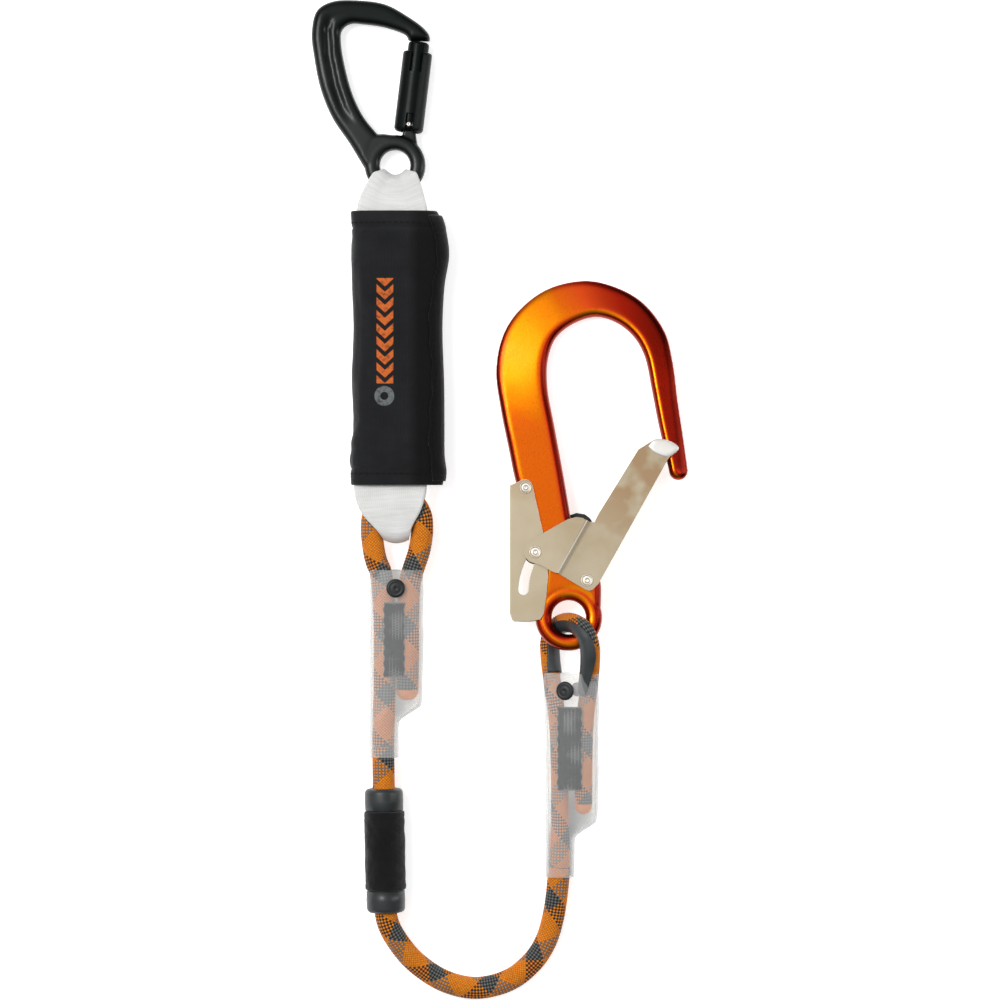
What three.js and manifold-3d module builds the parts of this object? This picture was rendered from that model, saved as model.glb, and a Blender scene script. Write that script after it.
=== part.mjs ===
// Shock absorbing lanyard: karabiner, tear-webbing energy absorber, kernmantle rope with a hand grip,
// and a scaffold hook. It lies flat, +Y towards the karabiner, +Z up, millimetres.
// The origin is on the table, under the middle of the absorber's cover.

import * as THREE from "three";
import { mergeVertices } from "three/addons/utils/BufferGeometryUtils.js";
import Module from "manifold-3d";

const wasm = await Module();
wasm.setup();

// ---------- driving dimensions ----------

const GAP = 0.3; // clearance between touching pieces
const SHEET = 1.5; // steel sheet of the scaffold hook's gate and trigger

const KARABINER = {
  eye: [-0.65, 119.6, 9.7], // centre of the eye, at mid thickness
  half: 5.5,
  bevel: 1,
  holeRadius: 9.4,
  ringRadius: 19.8,
  pin: [9.1, 26.3], // gate pin, from the eye
  pinRadius: 1.8,
  lean: -6.9, // degrees, the gate's lean towards +X
  gateLength: 54.2,
  sleeveRadius: 9.5,
  sleeveBore: 7.2,
  sleeveEnds: [-4.6, 47.5], // along the gate, from its pin
};

const COVER = { left: -29.2, right: 30.6, bottom: -87.8, top: 88.4, height: 32, wall: 2, corner: 9 };

const WEBBING = { thickness: 2.4, lowerLayer: 10.5, upperLayer: 18.7 }; // layers inside the cover

const ROPE = {
  radius: 7,
  eyeRadius: 5.5, // where the thimble squeezes it
  sides: 8,
  level: 13.5, // height of the straight upper stretch
};

const UPPER_EYE = [0.65, -112.5];

const SPLICE = { half: 9.6, wall: 1.4 }; // splice covers: half thickness and wall

const GRIP = { top: [-7.9, -285.5], length: 80.6, collar: 14.5, collarRadius: 12.5, wrapRadius: 13.5 };

const HOOK = {
  eye: [112.1, -174.2, 21],
  tilt: -4.1, // degrees about X: the crown rests on the table
  half: 5.5,
  bevel: 1.2,
  holeRadius: 11,
  ringRadius: 21.7,
  gatePivot: [11.7, 23.7],
  triggerPivot: [-27.9, 83.8],
  slotPin: [-21.75, 41.9],
  rivetRadius: 2.6,
  gateTravel: 38, // degrees
  triggerRatio: 0.08, // trigger turn for each degree of the gate
};

// ---------- geometry helpers ----------

const RADIAN = Math.PI / 180;

function arc(x, y, radius, from, to, steps) {
  return Array.from({ length: steps + 1 }, (_, i) => {
    const angle = (from + ((to - from) * i) / steps) * RADIAN;
    return [x + radius * Math.cos(angle), y + radius * Math.sin(angle)];
  });
}

function spline(points, perSpan) {
  const curve = new THREE.SplineCurve(points.map((p) => new THREE.Vector2(...p)));
  return curve.getPoints(perSpan * (points.length - 1)).map((p) => [p.x, p.y]);
}

function shapeOf(outline, holes = []) {
  const shape = new THREE.Shape(outline.map((p) => new THREE.Vector2(...p)));
  shape.holes = holes.map((hole) => new THREE.Path(hole.map((p) => new THREE.Vector2(...p))));
  return shape;
}

// A plate between two heights, with an optional rounded edge.
function plate(outline, low, high, { holes = [], bevel = 0 } = {}) {
  const geometry = new THREE.ExtrudeGeometry(shapeOf(outline, holes), {
    depth: high - low - 2 * bevel,
    bevelEnabled: bevel > 0,
    bevelThickness: bevel,
    bevelSize: bevel,
    bevelOffset: -bevel,
    bevelSegments: 1,
  });
  return geometry.translate(0, 0, low + bevel);
}

// A profile drawn in Y and Z, extruded along X.
function alongX(profile, from, to) {
  const basis = new THREE.Matrix4().makeBasis(
    new THREE.Vector3(0, 1, 0),
    new THREE.Vector3(0, 0, 1),
    new THREE.Vector3(1, 0, 0),
  );
  return plate(profile, from, to).applyMatrix4(basis);
}

// A profile drawn in X and Z, extruded along Y.
function alongY(profile, from, to) {
  const basis = new THREE.Matrix4().makeBasis(
    new THREE.Vector3(1, 0, 0),
    new THREE.Vector3(0, 0, 1),
    new THREE.Vector3(0, -1, 0),
  );
  return plate(profile, -to, -from).applyMatrix4(basis);
}

function box(low, high) {
  const size = high.map((value, i) => value - low[i]);
  const middle = high.map((value, i) => (value + low[i]) / 2);
  return new THREE.BoxGeometry(...size).translate(...middle);
}

function disc(x, y, radius, low, high, sides = 20) {
  const geometry = new THREE.CylinderGeometry(radius, radius, high - low, sides);
  return geometry.rotateX(Math.PI / 2).translate(x, y, (low + high) / 2);
}

// A profile of [radius, height] pairs turned about the Y axis.
function turned(profile, sides = 20) {
  return new THREE.LatheGeometry(profile.map((p) => new THREE.Vector2(...p)), sides);
}

// A straight-walled tube about the Y axis.
function pipe(inner, outer, low, high, sides = 20) {
  const profile = [[inner, low], [outer, low], [outer, high], [inner, high], [inner, low]];
  return turned(profile, sides);
}

// A ring about the Z axis, its bar an octagon.
function ringBar(inner, outer, half) {
  const flat = (outer - inner) / 5;
  const side = half / 2.6;
  const middle = (inner + outer) / 2;
  const profile = [
    [inner, -side], [middle - flat, -half], [middle + flat, -half], [outer, -side],
    [outer, side], [middle + flat, half], [middle - flat, half], [inner, side], [inner, -side],
  ];
  return turned(profile, 32).rotateX(Math.PI / 2);
}

// A close-wound coil about the Y axis, drawn as a ribbed sleeve.
function coil(inner, outer, low, high, turns, sides = 12) {
  const pitch = (high - low) / turns;
  const ribs = [];
  for (let i = 0; i < turns; i += 1) {
    ribs.push([outer - pitch / 4, low + pitch * i]);
    ribs.push([outer, low + pitch * (i + 0.5)]);
  }
  return turned([[inner, low], ...ribs, [outer - pitch / 4, high], [inner, high], [inner, low]], sides);
}

function ropePath(points) {
  return new THREE.CatmullRomCurve3(points.map((p) => new THREE.Vector3(...p)), false, "centripetal");
}

// A round tube along a path, its section a regular polygon.
function tube(path, radius, steps, sides = ROPE.sides) {
  const section = arc(0, 0, radius, 0, 360 - 360 / sides, sides - 1);
  return new THREE.ExtrudeGeometry(shapeOf(section), { steps, extrudePath: path, bevelEnabled: false });
}

function solid(geometry) {
  const bare = geometry.clone();
  bare.deleteAttribute("normal");
  bare.deleteAttribute("uv");
  const merged = mergeVertices(bare, 1e-3);
  const mesh = new wasm.Mesh({
    numProp: 3,
    vertProperties: merged.attributes.position.array,
    triVerts: new Uint32Array(merged.index.array),
  });
  return new wasm.Manifold(mesh);
}

function geometryOf(body) {
  const mesh = body.getMesh();
  const geometry = new THREE.BufferGeometry();
  geometry.setAttribute("position", new THREE.BufferAttribute(mesh.vertProperties, 3));
  geometry.setIndex(new THREE.BufferAttribute(mesh.triVerts, 1));
  geometry.computeVertexNormals();
  return geometry;
}

function join(...geometries) {
  return geometryOf(geometries.map(solid).reduce((sum, next) => sum.add(next)));
}

function cut(geometry, ...tools) {
  return geometryOf(tools.map(solid).reduce((sum, next) => sum.subtract(next), solid(geometry)));
}

function common(first, second) {
  return geometryOf(solid(first).intersect(solid(second)));
}

function piece(name, geometry, [color, roughness, metalness]) {
  const material = new THREE.MeshStandardMaterial({ color, roughness, metalness });
  const mesh = new THREE.Mesh(geometry, material);
  mesh.name = name;
  return mesh;
}

function turnAbout(point, pivot, degrees) {
  const c = Math.cos(degrees * RADIAN);
  const s = Math.sin(degrees * RADIAN);
  const x = point[0] - pivot[0];
  const y = point[1] - pivot[1];
  return [pivot[0] + c * x - s * y, pivot[1] + s * x + c * y];
}

// ---------- finishes: colour, roughness, metalness ----------

const BLACK_ANODISED = [0x192020, 0.4, 0.7];
const BRIGHT_STEEL = [0xb8b4ac, 0.3, 1];
const PLATED_STEEL = [0xbeaf91, 0.35, 0.9];
const SPRING_STEEL = [0x8a8a88, 0.4, 1];
const BRASS = [0xb08d4a, 0.4, 0.9];
const ORANGE_ALLOY = [0xe06c0a, 0.3, 0.8];
const WHITE_WEBBING = [0xe4e4e2, 0.9, 0];
const TEAR_WEBBING = [0xd8d6cc, 0.9, 0];
const THREAD = [0x5f6262, 0.9, 0];
const BLACK_FABRIC = [0x212224, 0.95, 0];
const ROPE_SHEATH = [0xe27c14, 0.85, 0];
const CLEAR_SLEEVE = [0xdcdcd8, 0.3, 0];
const BLACK_PLASTIC = [0x16181a, 0.5, 0];
const GREY_PLASTIC = [0x383c3e, 0.5, 0];
const GREY_RUBBER = [0x323737, 0.8, 0];

// ---------- karabiner ----------

function karabinerFrame() {
  const { pin, ringRadius, holeRadius, half, bevel } = KARABINER;
  const outer = spline([
    [22.1, 81.2], [18, 88.4], [8.8, 96.5], [-6, 104.7], [-22.2, 107.3], [-41, 106.6], [-50.8, 100.8],
    [-54.3, 86.5], [-52.7, 70.2], [-48.4, 49.4], [-41, 31.2], [-29.3, 13.7], [-19.6, -2.4],
  ], 2);
  const inner = spline([
    [-10, 18.6], [-20.2, 31.2], [-26.8, 44.2], [-31.9, 61.1], [-35.2, 80], [-34.6, 87.6], [-29, 91.9],
    [-21, 91.7], [-6, 89.4], [9.8, 82.7],
  ], 2);
  const bow = plate([...outer, ...inner], -half, half, { bevel });
  const lugHalf = 3.6;
  const lug = plate(
    [[pin[0] - lugHalf, 14], [16, 10], [pin[0] + lugHalf, 21], ...arc(...pin, lugHalf, 0, 180, 8)],
    -3, 3,
  );
  const eyeRoom = disc(0, 0, (holeRadius + ringRadius) / 2, -9, 9, 32);
  const seat = box([-27, 84, -8], [-15, 91.8, 8]);
  const pinHole = disc(...pin, KARABINER.pinRadius + GAP, -8, 8, 12);
  return cut(join(cut(join(bow, lug), eyeRoom), ringBar(holeRadius, ringRadius, half)), seat, pinHole);
}

// The gate's own pieces are drawn about its pin, with the bar along +Y.
function karabinerGate() {
  const bar = turned([
    [0, -4.2], [5.6, -4.2], [6.8, -2.6], [6.8, 24], [5.3, 24.5], [5.3, 33.5], [6.8, 34],
    [6.8, 53], [5.8, KARABINER.gateLength], [0, KARABINER.gateLength],
  ]);
  const forkSlot = box([-9, -6, -3 - GAP], [9, 4.6, 3 + GAP]);
  const springBore = turned([[0, 4], [2, 4], [2, 23], [0, 23]], 10);
  const grooves = [-1, 1].map((side) => box([side * 3.4 - 0.6, 35, 4.6], [side * 3.4 + 0.6, 60, 9]));
  const pinHole = disc(0, 0, KARABINER.pinRadius + GAP, -8, 8, 12);
  return cut(bar, forkSlot, springBore, ...grooves, pinHole);
}

function karabinerSleeve() {
  const { sleeveBore: bore, sleeveRadius: outer, sleeveEnds: [low, high] } = KARABINER;
  const wall = outer - bore;
  const shell = turned([
    [bore, low], [bore + 0.4, low], [outer, low + wall], [outer, high - 0.8], [outer - 0.8, high],
    [bore, high], [bore, low],
  ], 24);
  const window = box([-4, high - 13.2, 2], [4, high + 2, 12]);
  const notch = box([-2.3, low - 2, 2], [2.3, 7, 12]);
  return cut(shell, window, notch);
}

function karabiner() {
  const group = new THREE.Group();
  group.position.set(...KARABINER.eye);
  group.add(piece("karabiner_frame", karabinerFrame(), BLACK_ANODISED));
  const gate = new THREE.Group();
  gate.position.set(...KARABINER.pin, 0);
  gate.rotation.z = KARABINER.lean * RADIAN;
  gate.add(
    piece("karabiner_gate", karabinerGate(), BLACK_ANODISED),
    piece("karabiner_lock_sleeve", karabinerSleeve(), BLACK_ANODISED),
    piece("karabiner_hinge_pin", disc(0, 0, KARABINER.pinRadius, -6.4, 6.4, 12), BRIGHT_STEEL),
    piece("karabiner_gate_plunger", turned([[0, 4.3], [1.6, 4.8], [1.6, 9], [0, 9]], 10), BRIGHT_STEEL),
    piece("karabiner_gate_spring", coil(0.8, 1.6, 9.4, 21, 8, 8), SPRING_STEEL),
    piece("karabiner_sleeve_spring", coil(5.7, 6.7, 24.9, 33.1, 8, 12), SPRING_STEEL),
  );
  group.add(gate);
  return group;
}

// ---------- energy absorber ----------

// A rectangle in X and Z with round corners.
function roundedSection(left, right, low, high, radius) {
  return [
    ...arc(right - radius, high - radius, radius, 0, 90, 5),
    ...arc(left + radius, high - radius, radius, 90, 180, 5),
    ...arc(left + radius, low + radius, radius, 180, 270, 5),
    ...arc(right - radius, low + radius, radius, 270, 360, 5),
  ];
}

function absorberCover() {
  const { left, right, bottom, top, height, wall, corner } = COVER;
  const outside = alongY(roundedSection(left, right, 0, height, corner), bottom, top);
  const inside = roundedSection(left + wall, right - wall, wall, height - wall, corner - wall);
  return cut(outside, alongY(inside, bottom - 5, top + 5));
}

// The tear webbing lies in the cover as a stack of long folds.
function tearPack() {
  const layer = 3;
  const gap = 1;
  const low = 4.5;
  const reach = 58;
  const layers = 6;
  let stack = null;
  for (let i = 0; i < layers; i += 1) {
    const z = low + i * (layer + gap);
    const strip = box([-25, -reach, z], [21, reach, z + layer]);
    stack = stack ? join(stack, strip) : strip;
    if (i > 0) {
      const side = i % 2 ? 1 : -1;
      const foldEnds = [side * (reach - 3), side * reach].sort((a, b) => a - b);
      stack = join(stack, box([-25, foldEnds[0], z - gap - 0.5], [21, foldEnds[1], z + 0.5]));
    }
  }
  return stack;
}

// The two layers of a loop between its fold and the inside of the cover. end is +1 or -1 along Y.
function loopLayers(end, foldY, foldLow, foldHigh, bendY) {
  const t = WEBBING.thickness;
  const mouth = 84;
  const inner = 66;
  const layer = (atFold, inside) => [
    [end * foldY, atFold], [end * bendY, atFold], [end * mouth, inside], [end * inner, inside],
    [end * inner, inside + t], [end * mouth, inside + t], [end * bendY, atFold + t], [end * foldY, atFold + t],
  ];
  const lower = alongX(layer(foldLow, WEBBING.lowerLayer), -40, 40);
  const upper = alongX(layer(foldHigh - t, WEBBING.upperLayer), -40, 40);
  return [lower, upper];
}

function upperWebbingLoop() {
  const [x, y, z] = KARABINER.eye;
  const ringMiddle = (KARABINER.holeRadius + KARABINER.ringRadius) / 2;
  const inner = 6.3;
  const outer = inner + WEBBING.thickness;
  const reach = 19;
  const fold = [
    ...arc(ringMiddle, 0, outer, 90, 270, 8),
    [reach, -outer], [reach, -inner],
    ...arc(ringMiddle, 0, inner, 270, 90, 8),
    [reach, inner], [reach, outer], [ringMiddle, outer],
  ];
  const saddle = turned(fold, 36).rotateX(Math.PI / 2).translate(x, y, z);
  const outline = [
    [-25.7, 60], [20.8, 60], [20.8, 90.4], [17.6, 106.6], [13.7, 111.8], [9.8, 117.7],
    [-0.6, 118.5], [-11.7, 117.7], [-15.6, 111.2], [-22.1, 103.4], [-25.7, 89],
  ];
  const layers = loopLayers(1, 103.4, z - outer, z + outer, 102);
  return common(join(saddle, ...layers), plate(outline, -5, 40));
}

function lowerWebbingLoop(eyePath) {
  const middle = ROPE.level;
  const inner = 7.4;
  const outer = inner + WEBBING.thickness;
  const foldY = 115.5;
  const fold = [...arc(-foldY, middle, outer, 90, 270, 8), ...arc(-foldY, middle, inner, 270, 90, 8)];
  const layers = loopLayers(-1, foldY + 0.3, middle - outer, middle + outer, 89.4);
  const outline = [
    [-25, -60], [-25, -88.4], [-27, -91], [-26.7, -100.1], [-19.5, -109.5], [-11.3, -120.9], [-6, -125.4], [0, -127],
    [9, -124.6], [10.7, -111.8], [17.6, -103.7], [20, -88.4], [20, -60],
  ];
  const loop = common(join(alongX(fold, -40, 40), ...layers), plate(outline, -5, 40));
  const clearance = [-8, 0, 8].map((degrees) => {
    const swept = tube(eyePath, ROPE.radius + 0.6, 32);
    swept.translate(-UPPER_EYE[0], -UPPER_EYE[1], 0).rotateZ(degrees * RADIAN);
    return swept.translate(...UPPER_EYE, 0);
  });
  return cut(loop, ...clearance);
}

function absorber(upperEye) {
  const group = new THREE.Group();
  const flap = roundedSection(COVER.right + GAP, COVER.right + 1.6, 8, 24, 0.5);
  const seam = (y) => {
    const between = [WEBBING.lowerLayer + WEBBING.thickness + GAP, WEBBING.upperLayer - GAP];
    return box([-20, y - 7, between[0]], [15, y + 7, between[1]]);
  };
  const packSeam = (y) => box([-19, y - 4, 27.8], [15, y + 4, 28.8]);
  group.add(
    piece("absorber_cover", absorberCover(), BLACK_FABRIC),
    piece("absorber_cover_flap", alongY(flap, COVER.bottom + 4, COVER.top - 4), BLACK_FABRIC),
    piece("tear_webbing_pack", tearPack(), TEAR_WEBBING),
    piece("tear_pack_upper_stitching", packSeam(45), THREAD),
    piece("tear_pack_lower_stitching", packSeam(-45), THREAD),
    piece("upper_webbing_loop", upperWebbingLoop(), WHITE_WEBBING),
    piece("upper_loop_stitching", seam(75), THREAD),
    piece("lower_webbing_loop", lowerWebbingLoop(upperEye), WHITE_WEBBING),
    piece("lower_loop_stitching", seam(-75), THREAD),
  );
  return group;
}

// ---------- rope, its eyes and their covers ----------

const UPPER_EYE_ROUTE = [
  [-8.4, -258], [-7.9, -240], [-7.4, -215], [-7.4, -190], [-7.6, -172], [-8.6, -155.3], [-10, -145],
  [-13, -137.2], [-14.8, -128], [-15.7, -117.7], [-14.7, -107.5], [-9.6, -99.8], [0.65, -96.3],
  [10.9, -99.8], [16, -107.5], [17, -117.7], [15.4, -130], [12.6, -139], [10.4, -146], [8.7, -155.3],
  [8, -172], [8, -195], [7.4, -222],
].map(([x, y]) => [x, y, ROPE.level]);

const ROPE_ROUTE = [
  [-8.38, -258.4, 13.5], [-8.14, -272, 13.5], [-7.9, -285, 13.5], [-7.15, -325, 13.5], [-6.37, -368, 13.5],
  [-3.6, -377, 12.9], [1.9, -386.4, 11.2], [9.6, -396.1, 9.4], [18.7, -404, 8.0], [28.6, -410.2, 7.3],
  [39.7, -414.3, 7.1], [51.4, -416, 7.1], [63.7, -414.4, 7.1], [75.6, -409.8, 7.1], [84.7, -403, 7.1],
  [92.3, -394.6, 7.2], [98, -384.2, 7.5], [101.6, -372.5, 8.0], [103.8, -361, 8.6], [105.3, -348, 9.2],
  [106.2, -337, 9.8],
];

const LOWER_EYE_ROUTE = [
  [106.2, -336.6, 9.8], [106.6, -318, 11.0], [106.5, -295, 12.3], [106.2, -270, 13.3], [105.6, -250, 13.9],
  [104.3, -236, 13.6], [102.4, -223, 12.6], [100.8, -211, 10.6], [99.6, -200, 8.3], [99.4, -191.5, 7.0],
  [100.8, -185.6, 7.1], [103.8, -180.8, 9.2], [107.8, -177.8, 14], [112.4, -176.8, 21], [117, -177.8, 28.4],
  [121, -180.8, 33.8], [124.4, -186, 35.9], [126.2, -193.5, 34.9], [126.5, -202, 31], [126, -211, 26.6],
  [124.8, -223, 22], [123.2, -236, 19.2], [122.3, -250, 17.6], [122, -270, 16.2], [121.8, -296, 14.6],
];

// Height of the lower cover's middle, and how far it is rolled, at a place along the lanyard.
function lowerCoverMiddle(y) {
  const along = (y + 343.2) / (343.2 - 210.6);
  return { height: 9.8 + 8.8 * along, slope: 0.5 * Math.max(0, along - 0.2) ** 1.7 / 0.8 ** 1.7 };
}

// Each splice cover in plan: its sides at stations from the mouth at the eye to the neck's end.
const UPPER_PLAN = [
  { y: -143.7, left: -17.2, right: 17.6 }, { y: -165, left: -17.2, right: 17.6 },
  { y: -187, left: -17.2, right: 17.6 }, { y: -209, left: -17.2, right: 17.4 },
  { y: -230, left: -17.2, right: 17 }, { y: -242.5, left: -17.2, right: 1.6 },
  { y: -265.2, left: -17.2, right: 1.4 },
];

const LOWER_PLAN = [
  { y: -210.6, left: 95.8, right: 131.4 }, { y: -222, left: 96, right: 131.4 },
  { y: -234, left: 96.4, right: 131.4 }, { y: -246, left: 96.8, right: 131.4 },
  { y: -262, left: 97.2, right: 131.4 }, { y: -284, left: 97.4, right: 131.4 },
  { y: -306.2, left: 97.4, right: 131 }, { y: -318, left: 97.4, right: 115.9 },
  { y: -343.2, left: 97.4, right: 115.7 },
];

// A body swept through a plan's stations: its section fills the plan's width less inset, between two
// heights over the middle surface, and runs past both ends by past.
function sheath(plan, section, { inset = 0, past = 0, half, middle }) {
  const last = plan.length - 1;
  const geometry = new THREE.ExtrudeGeometry(shapeOf(section), { depth: last, steps: last, bevelEnabled: false });
  const position = geometry.attributes.position;
  for (let i = 0; i < position.count; i += 1) {
    const station = Math.round(position.getZ(i));
    const { y, left, right } = plan[station];
    const away = { 0: past, [last]: -past }[station] ?? 0;
    const { height, slope, rollMiddle } = middle(y);
    const x = (left + right) / 2 + position.getX(i) * ((right - left) / 2 - inset);
    const z = height + slope * (x - rollMiddle) + position.getY(i) * half;
    position.setXYZ(i, x, y + away, z);
  }
  return geometry;
}

// A square of side 2 with round corners, run round so that the swept body faces out.
const SHEATH_SECTION = [
  ...arc(0.6, 0.5, 0.4, 0, 90, 3), ...arc(-0.6, 0.5, 0.4, 90, 180, 3),
  ...arc(-0.6, -0.5, 0.4, 180, 270, 3), ...arc(0.6, -0.5, 0.4, 270, 360, 3),
].map(([x, z]) => [x, z * (1 / 0.9)]);

const upperMiddle = () => ({ height: ROPE.level, slope: 0, rollMiddle: 0 });

function lowerMiddle(y) {
  const { height, slope } = lowerCoverMiddle(y);
  return { height, slope, rollMiddle: 113.4 };
}

function spliceCover(plan, middle, eyePath, studHole) {
  const shell = sheath(plan, SHEATH_SECTION, { half: SPLICE.half, middle });
  const room = { inset: SPLICE.wall, past: 6, half: SPLICE.half - SPLICE.wall, middle };
  return cut(shell, sheath(plan, SHEATH_SECTION, room), tube(eyePath, ROPE.radius + 0.4, 44), studHole);
}

// The sewn block lies on the ropes under the cover's top.
function spliceStitching(left, right, from, to, middle) {
  const spans = 4;
  const plan = Array.from({ length: spans + 1 }, (_, i) => ({ y: from + ((to - from) * i) / spans, left, right }));
  const low = ROPE.radius + GAP;
  const section = [[-1, low], [1, low], [1, low + 0.5], [-1, low + 0.5]];
  return sheath(plan, section, { half: 1, middle });
}

const UPPER_BUTTON = [0.05, -155.3];
const LOWER_BUTTON = [113.7, -221.5];

// A press stud's two halves on one cover: a cap with its shank above, and a back below.
function pressStud([x, y], middle) {
  const { height, slope, rollMiddle } = middle(y);
  const roll = Math.atan(slope);
  const half = SPLICE.half * Math.cos(roll) + (slope ? 1.5 : GAP);
  const place = (geometry) => geometry.rotateY(-roll).translate(x, y, height + slope * (x - rollMiddle));
  const cap = join(disc(0, 0, 6, half, half + 1.9), disc(0, 0, 0.9, -half + 0.5, half + 1, 10));
  const back = cut(disc(0, 0, 4.6, -half - 1.2, -half, 16), disc(0, 0, 1.3, -half - 0.6, 0, 10));
  const hole = disc(0, 0, 1.4, -half - 4, half + 4, 12);
  return { cap: place(cap), back: place(back), hole: place(hole) };
}

// The thimble is a channel round the inside of the eye. Its section is a horseshoe open to the rope's back.
function thimble(eyeRoute) {
  const path = ropePath(eyeRoute.slice(7, 21));
  const inner = ROPE.eyeRadius + 1.4 * GAP;
  const outer = inner + 0.7;
  const middle = 180;
  const section = [
    ...arc(0, 0, outer, middle - 90, middle + 90, 6),
    ...arc(0, 0, inner, middle + 90, middle - 90, 6),
  ];
  return new THREE.ExtrudeGeometry(shapeOf(section), { steps: 26, extrudePath: path, bevelEnabled: false });
}

function ropeAssembly(upperEye) {
  const lowerEye = ropePath(LOWER_EYE_ROUTE);
  const upperStud = pressStud(UPPER_BUTTON, upperMiddle);
  const lowerStud = pressStud(LOWER_BUTTON, lowerMiddle);
  const group = new THREE.Group();
  group.add(
    piece("upper_rope_eye", tube(upperEye, ROPE.radius, 40), ROPE_SHEATH),
    piece("upper_splice_stitching", spliceStitching(-7.8, 5.8, -164.5, -213.2, upperMiddle), THREAD),
    piece("upper_splice_cover", spliceCover(UPPER_PLAN, upperMiddle, upperEye, upperStud.hole), CLEAR_SLEEVE),
    piece("upper_cover_button", upperStud.cap, BLACK_PLASTIC),
    piece("upper_cover_stud", upperStud.back, BLACK_PLASTIC),
    piece("rope_run", tube(ropePath(ROPE_ROUTE), ROPE.radius, 36), ROPE_SHEATH),
    piece("lower_rope_eye", tube(lowerEye, ROPE.eyeRadius, 48), ROPE_SHEATH),
    piece("rope_thimble", thimble(LOWER_EYE_ROUTE), GREY_PLASTIC),
    piece("lower_splice_stitching", spliceStitching(106.4, 120.6, -237, -288, lowerMiddle), THREAD),
    piece("lower_splice_cover", spliceCover(LOWER_PLAN, lowerMiddle, lowerEye, lowerStud.hole), CLEAR_SLEEVE),
    piece("lower_cover_button", lowerStud.cap, BLACK_PLASTIC),
    piece("lower_cover_stud", lowerStud.back, BLACK_PLASTIC),
  );
  return group;
}

// ---------- hand grip ----------

// The grip is drawn about the rope's axis, from its top down along -Y.
function grip() {
  const { length, collar, collarRadius, wrapRadius, top } = GRIP;
  const bore = ROPE.radius + 0.8;
  const core = collarRadius - 1.2;
  const tubeProfile = [
    [bore, -length], [collarRadius - 0.8, -length], [collarRadius, -length + 1], [collarRadius, -length + collar],
    [core, -length + collar], [core, -collar], [collarRadius, -collar], [collarRadius, -1],
    [collarRadius - 0.8, 0], [bore, 0], [bore, -length],
  ];
  const wrap = pipe(core + GAP, wrapRadius, -length + collar + GAP, -collar - GAP, 18);
  const [start, end] = [ROPE_ROUTE[2], ROPE_ROUTE[4]];
  const group = new THREE.Group();
  group.position.set(...top, ROPE.level);
  group.rotation.z = Math.atan2(end[0] - start[0], start[1] - end[1]);
  group.add(
    piece("grip_tube", turned(tubeProfile, 18), GREY_RUBBER),
    piece("grip_wrap", wrap, BLACK_FABRIC),
  );
  return group;
}

// ---------- scaffold hook ----------

function hookBody() {
  const { half, bevel, holeRadius, ringRadius, gatePivot, triggerPivot, rivetRadius } = HOOK;
  const outer = spline([
    [77.6, 95.6], [75, 115], [71.2, 141], [67.9, 167], [62.7, 186.6], [47.8, 206], [29, 216.2], [10.7, 219.7],
    [-14, 214], [-32.8, 199.6], [-43, 183], [-47.1, 160.6], [-43.9, 134.6], [-38.7, 108.6], [-34.4, 88],
    [-26.6, 64], [-17.6, 40], [-17.6, 26], [-20.2, 8],
  ], 2);
  const neck = spline([[21, 6], [20.6, 24], [17, 31.5], [13, 39], [7, 50], [1.4, 65]], 2);
  const inner = spline([
    [1.4, 65], [-3.8, 95.6], [-9, 124], [-13.6, 150], [-13.2, 168], [-8, 182], [4, 191.6], [18.5, 195.7],
    [32, 191.6], [43, 182.2], [49.6, 170], [54.3, 147.6], [58.4, 126], [65.2, 95.6],
  ], 2);
  const nose = arc(71.4, 95.2, 6.2, 180, 360, 8);
  const outline = [...outer.slice(1), ...neck.slice(0, -1), ...inner.slice(0, -1), ...nose];
  const bow = plate(outline, -half, half, { bevel });
  const eyeRoom = disc(0, 0, (holeRadius + ringRadius) / 2, -9, 9, 32);
  const bore = rivetRadius + 2 * GAP + 1;
  return cut(
    join(cut(bow, eyeRoom), ringBar(holeRadius, ringRadius, half)),
    disc(...gatePivot, bore, -20, 20, 16),
    disc(...triggerPivot, bore, -20, 20, 16),
    disc(...gatePivot, 6, 1.8, 20, 20),
    box([13.5, 184, -9], [23.5, 196.2, 9]),
  );
}

// Where the slot pin stands in the trigger's own frame while the gate opens.
function slotRoute() {
  const steps = 9;
  return Array.from({ length: steps + 1 }, (_, i) => {
    const opened = (HOOK.gateTravel * i) / steps;
    const onGate = turnAbout(HOOK.slotPin, HOOK.gatePivot, opened);
    return turnAbout(onGate, HOOK.triggerPivot, -opened * HOOK.triggerRatio);
  });
}

// A slot of one width along a route, with round ends.
function slotOutline(route, radius) {
  const heading = (i) => {
    const a = route[Math.max(0, i - 1)];
    const b = route[Math.min(route.length - 1, i + 1)];
    return Math.atan2(b[1] - a[1], b[0] - a[0]) / RADIAN;
  };
  const beside = (i, turn) => arc(...route[i], radius, heading(i) + turn, heading(i) + turn, 1)[0];
  const last = route.length - 1;
  return [
    ...route.map((_, i) => beside(i, -90)).slice(0, -1),
    ...arc(...route[last], radius, heading(last) - 90, heading(last) + 90, 6),
    ...route.map((_, i) => beside(i, 90)).slice(0, -1).reverse(),
    ...arc(...route[0], radius, heading(0) + 90, heading(0) + 270, 6).slice(1, -1),
  ];
}

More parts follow.
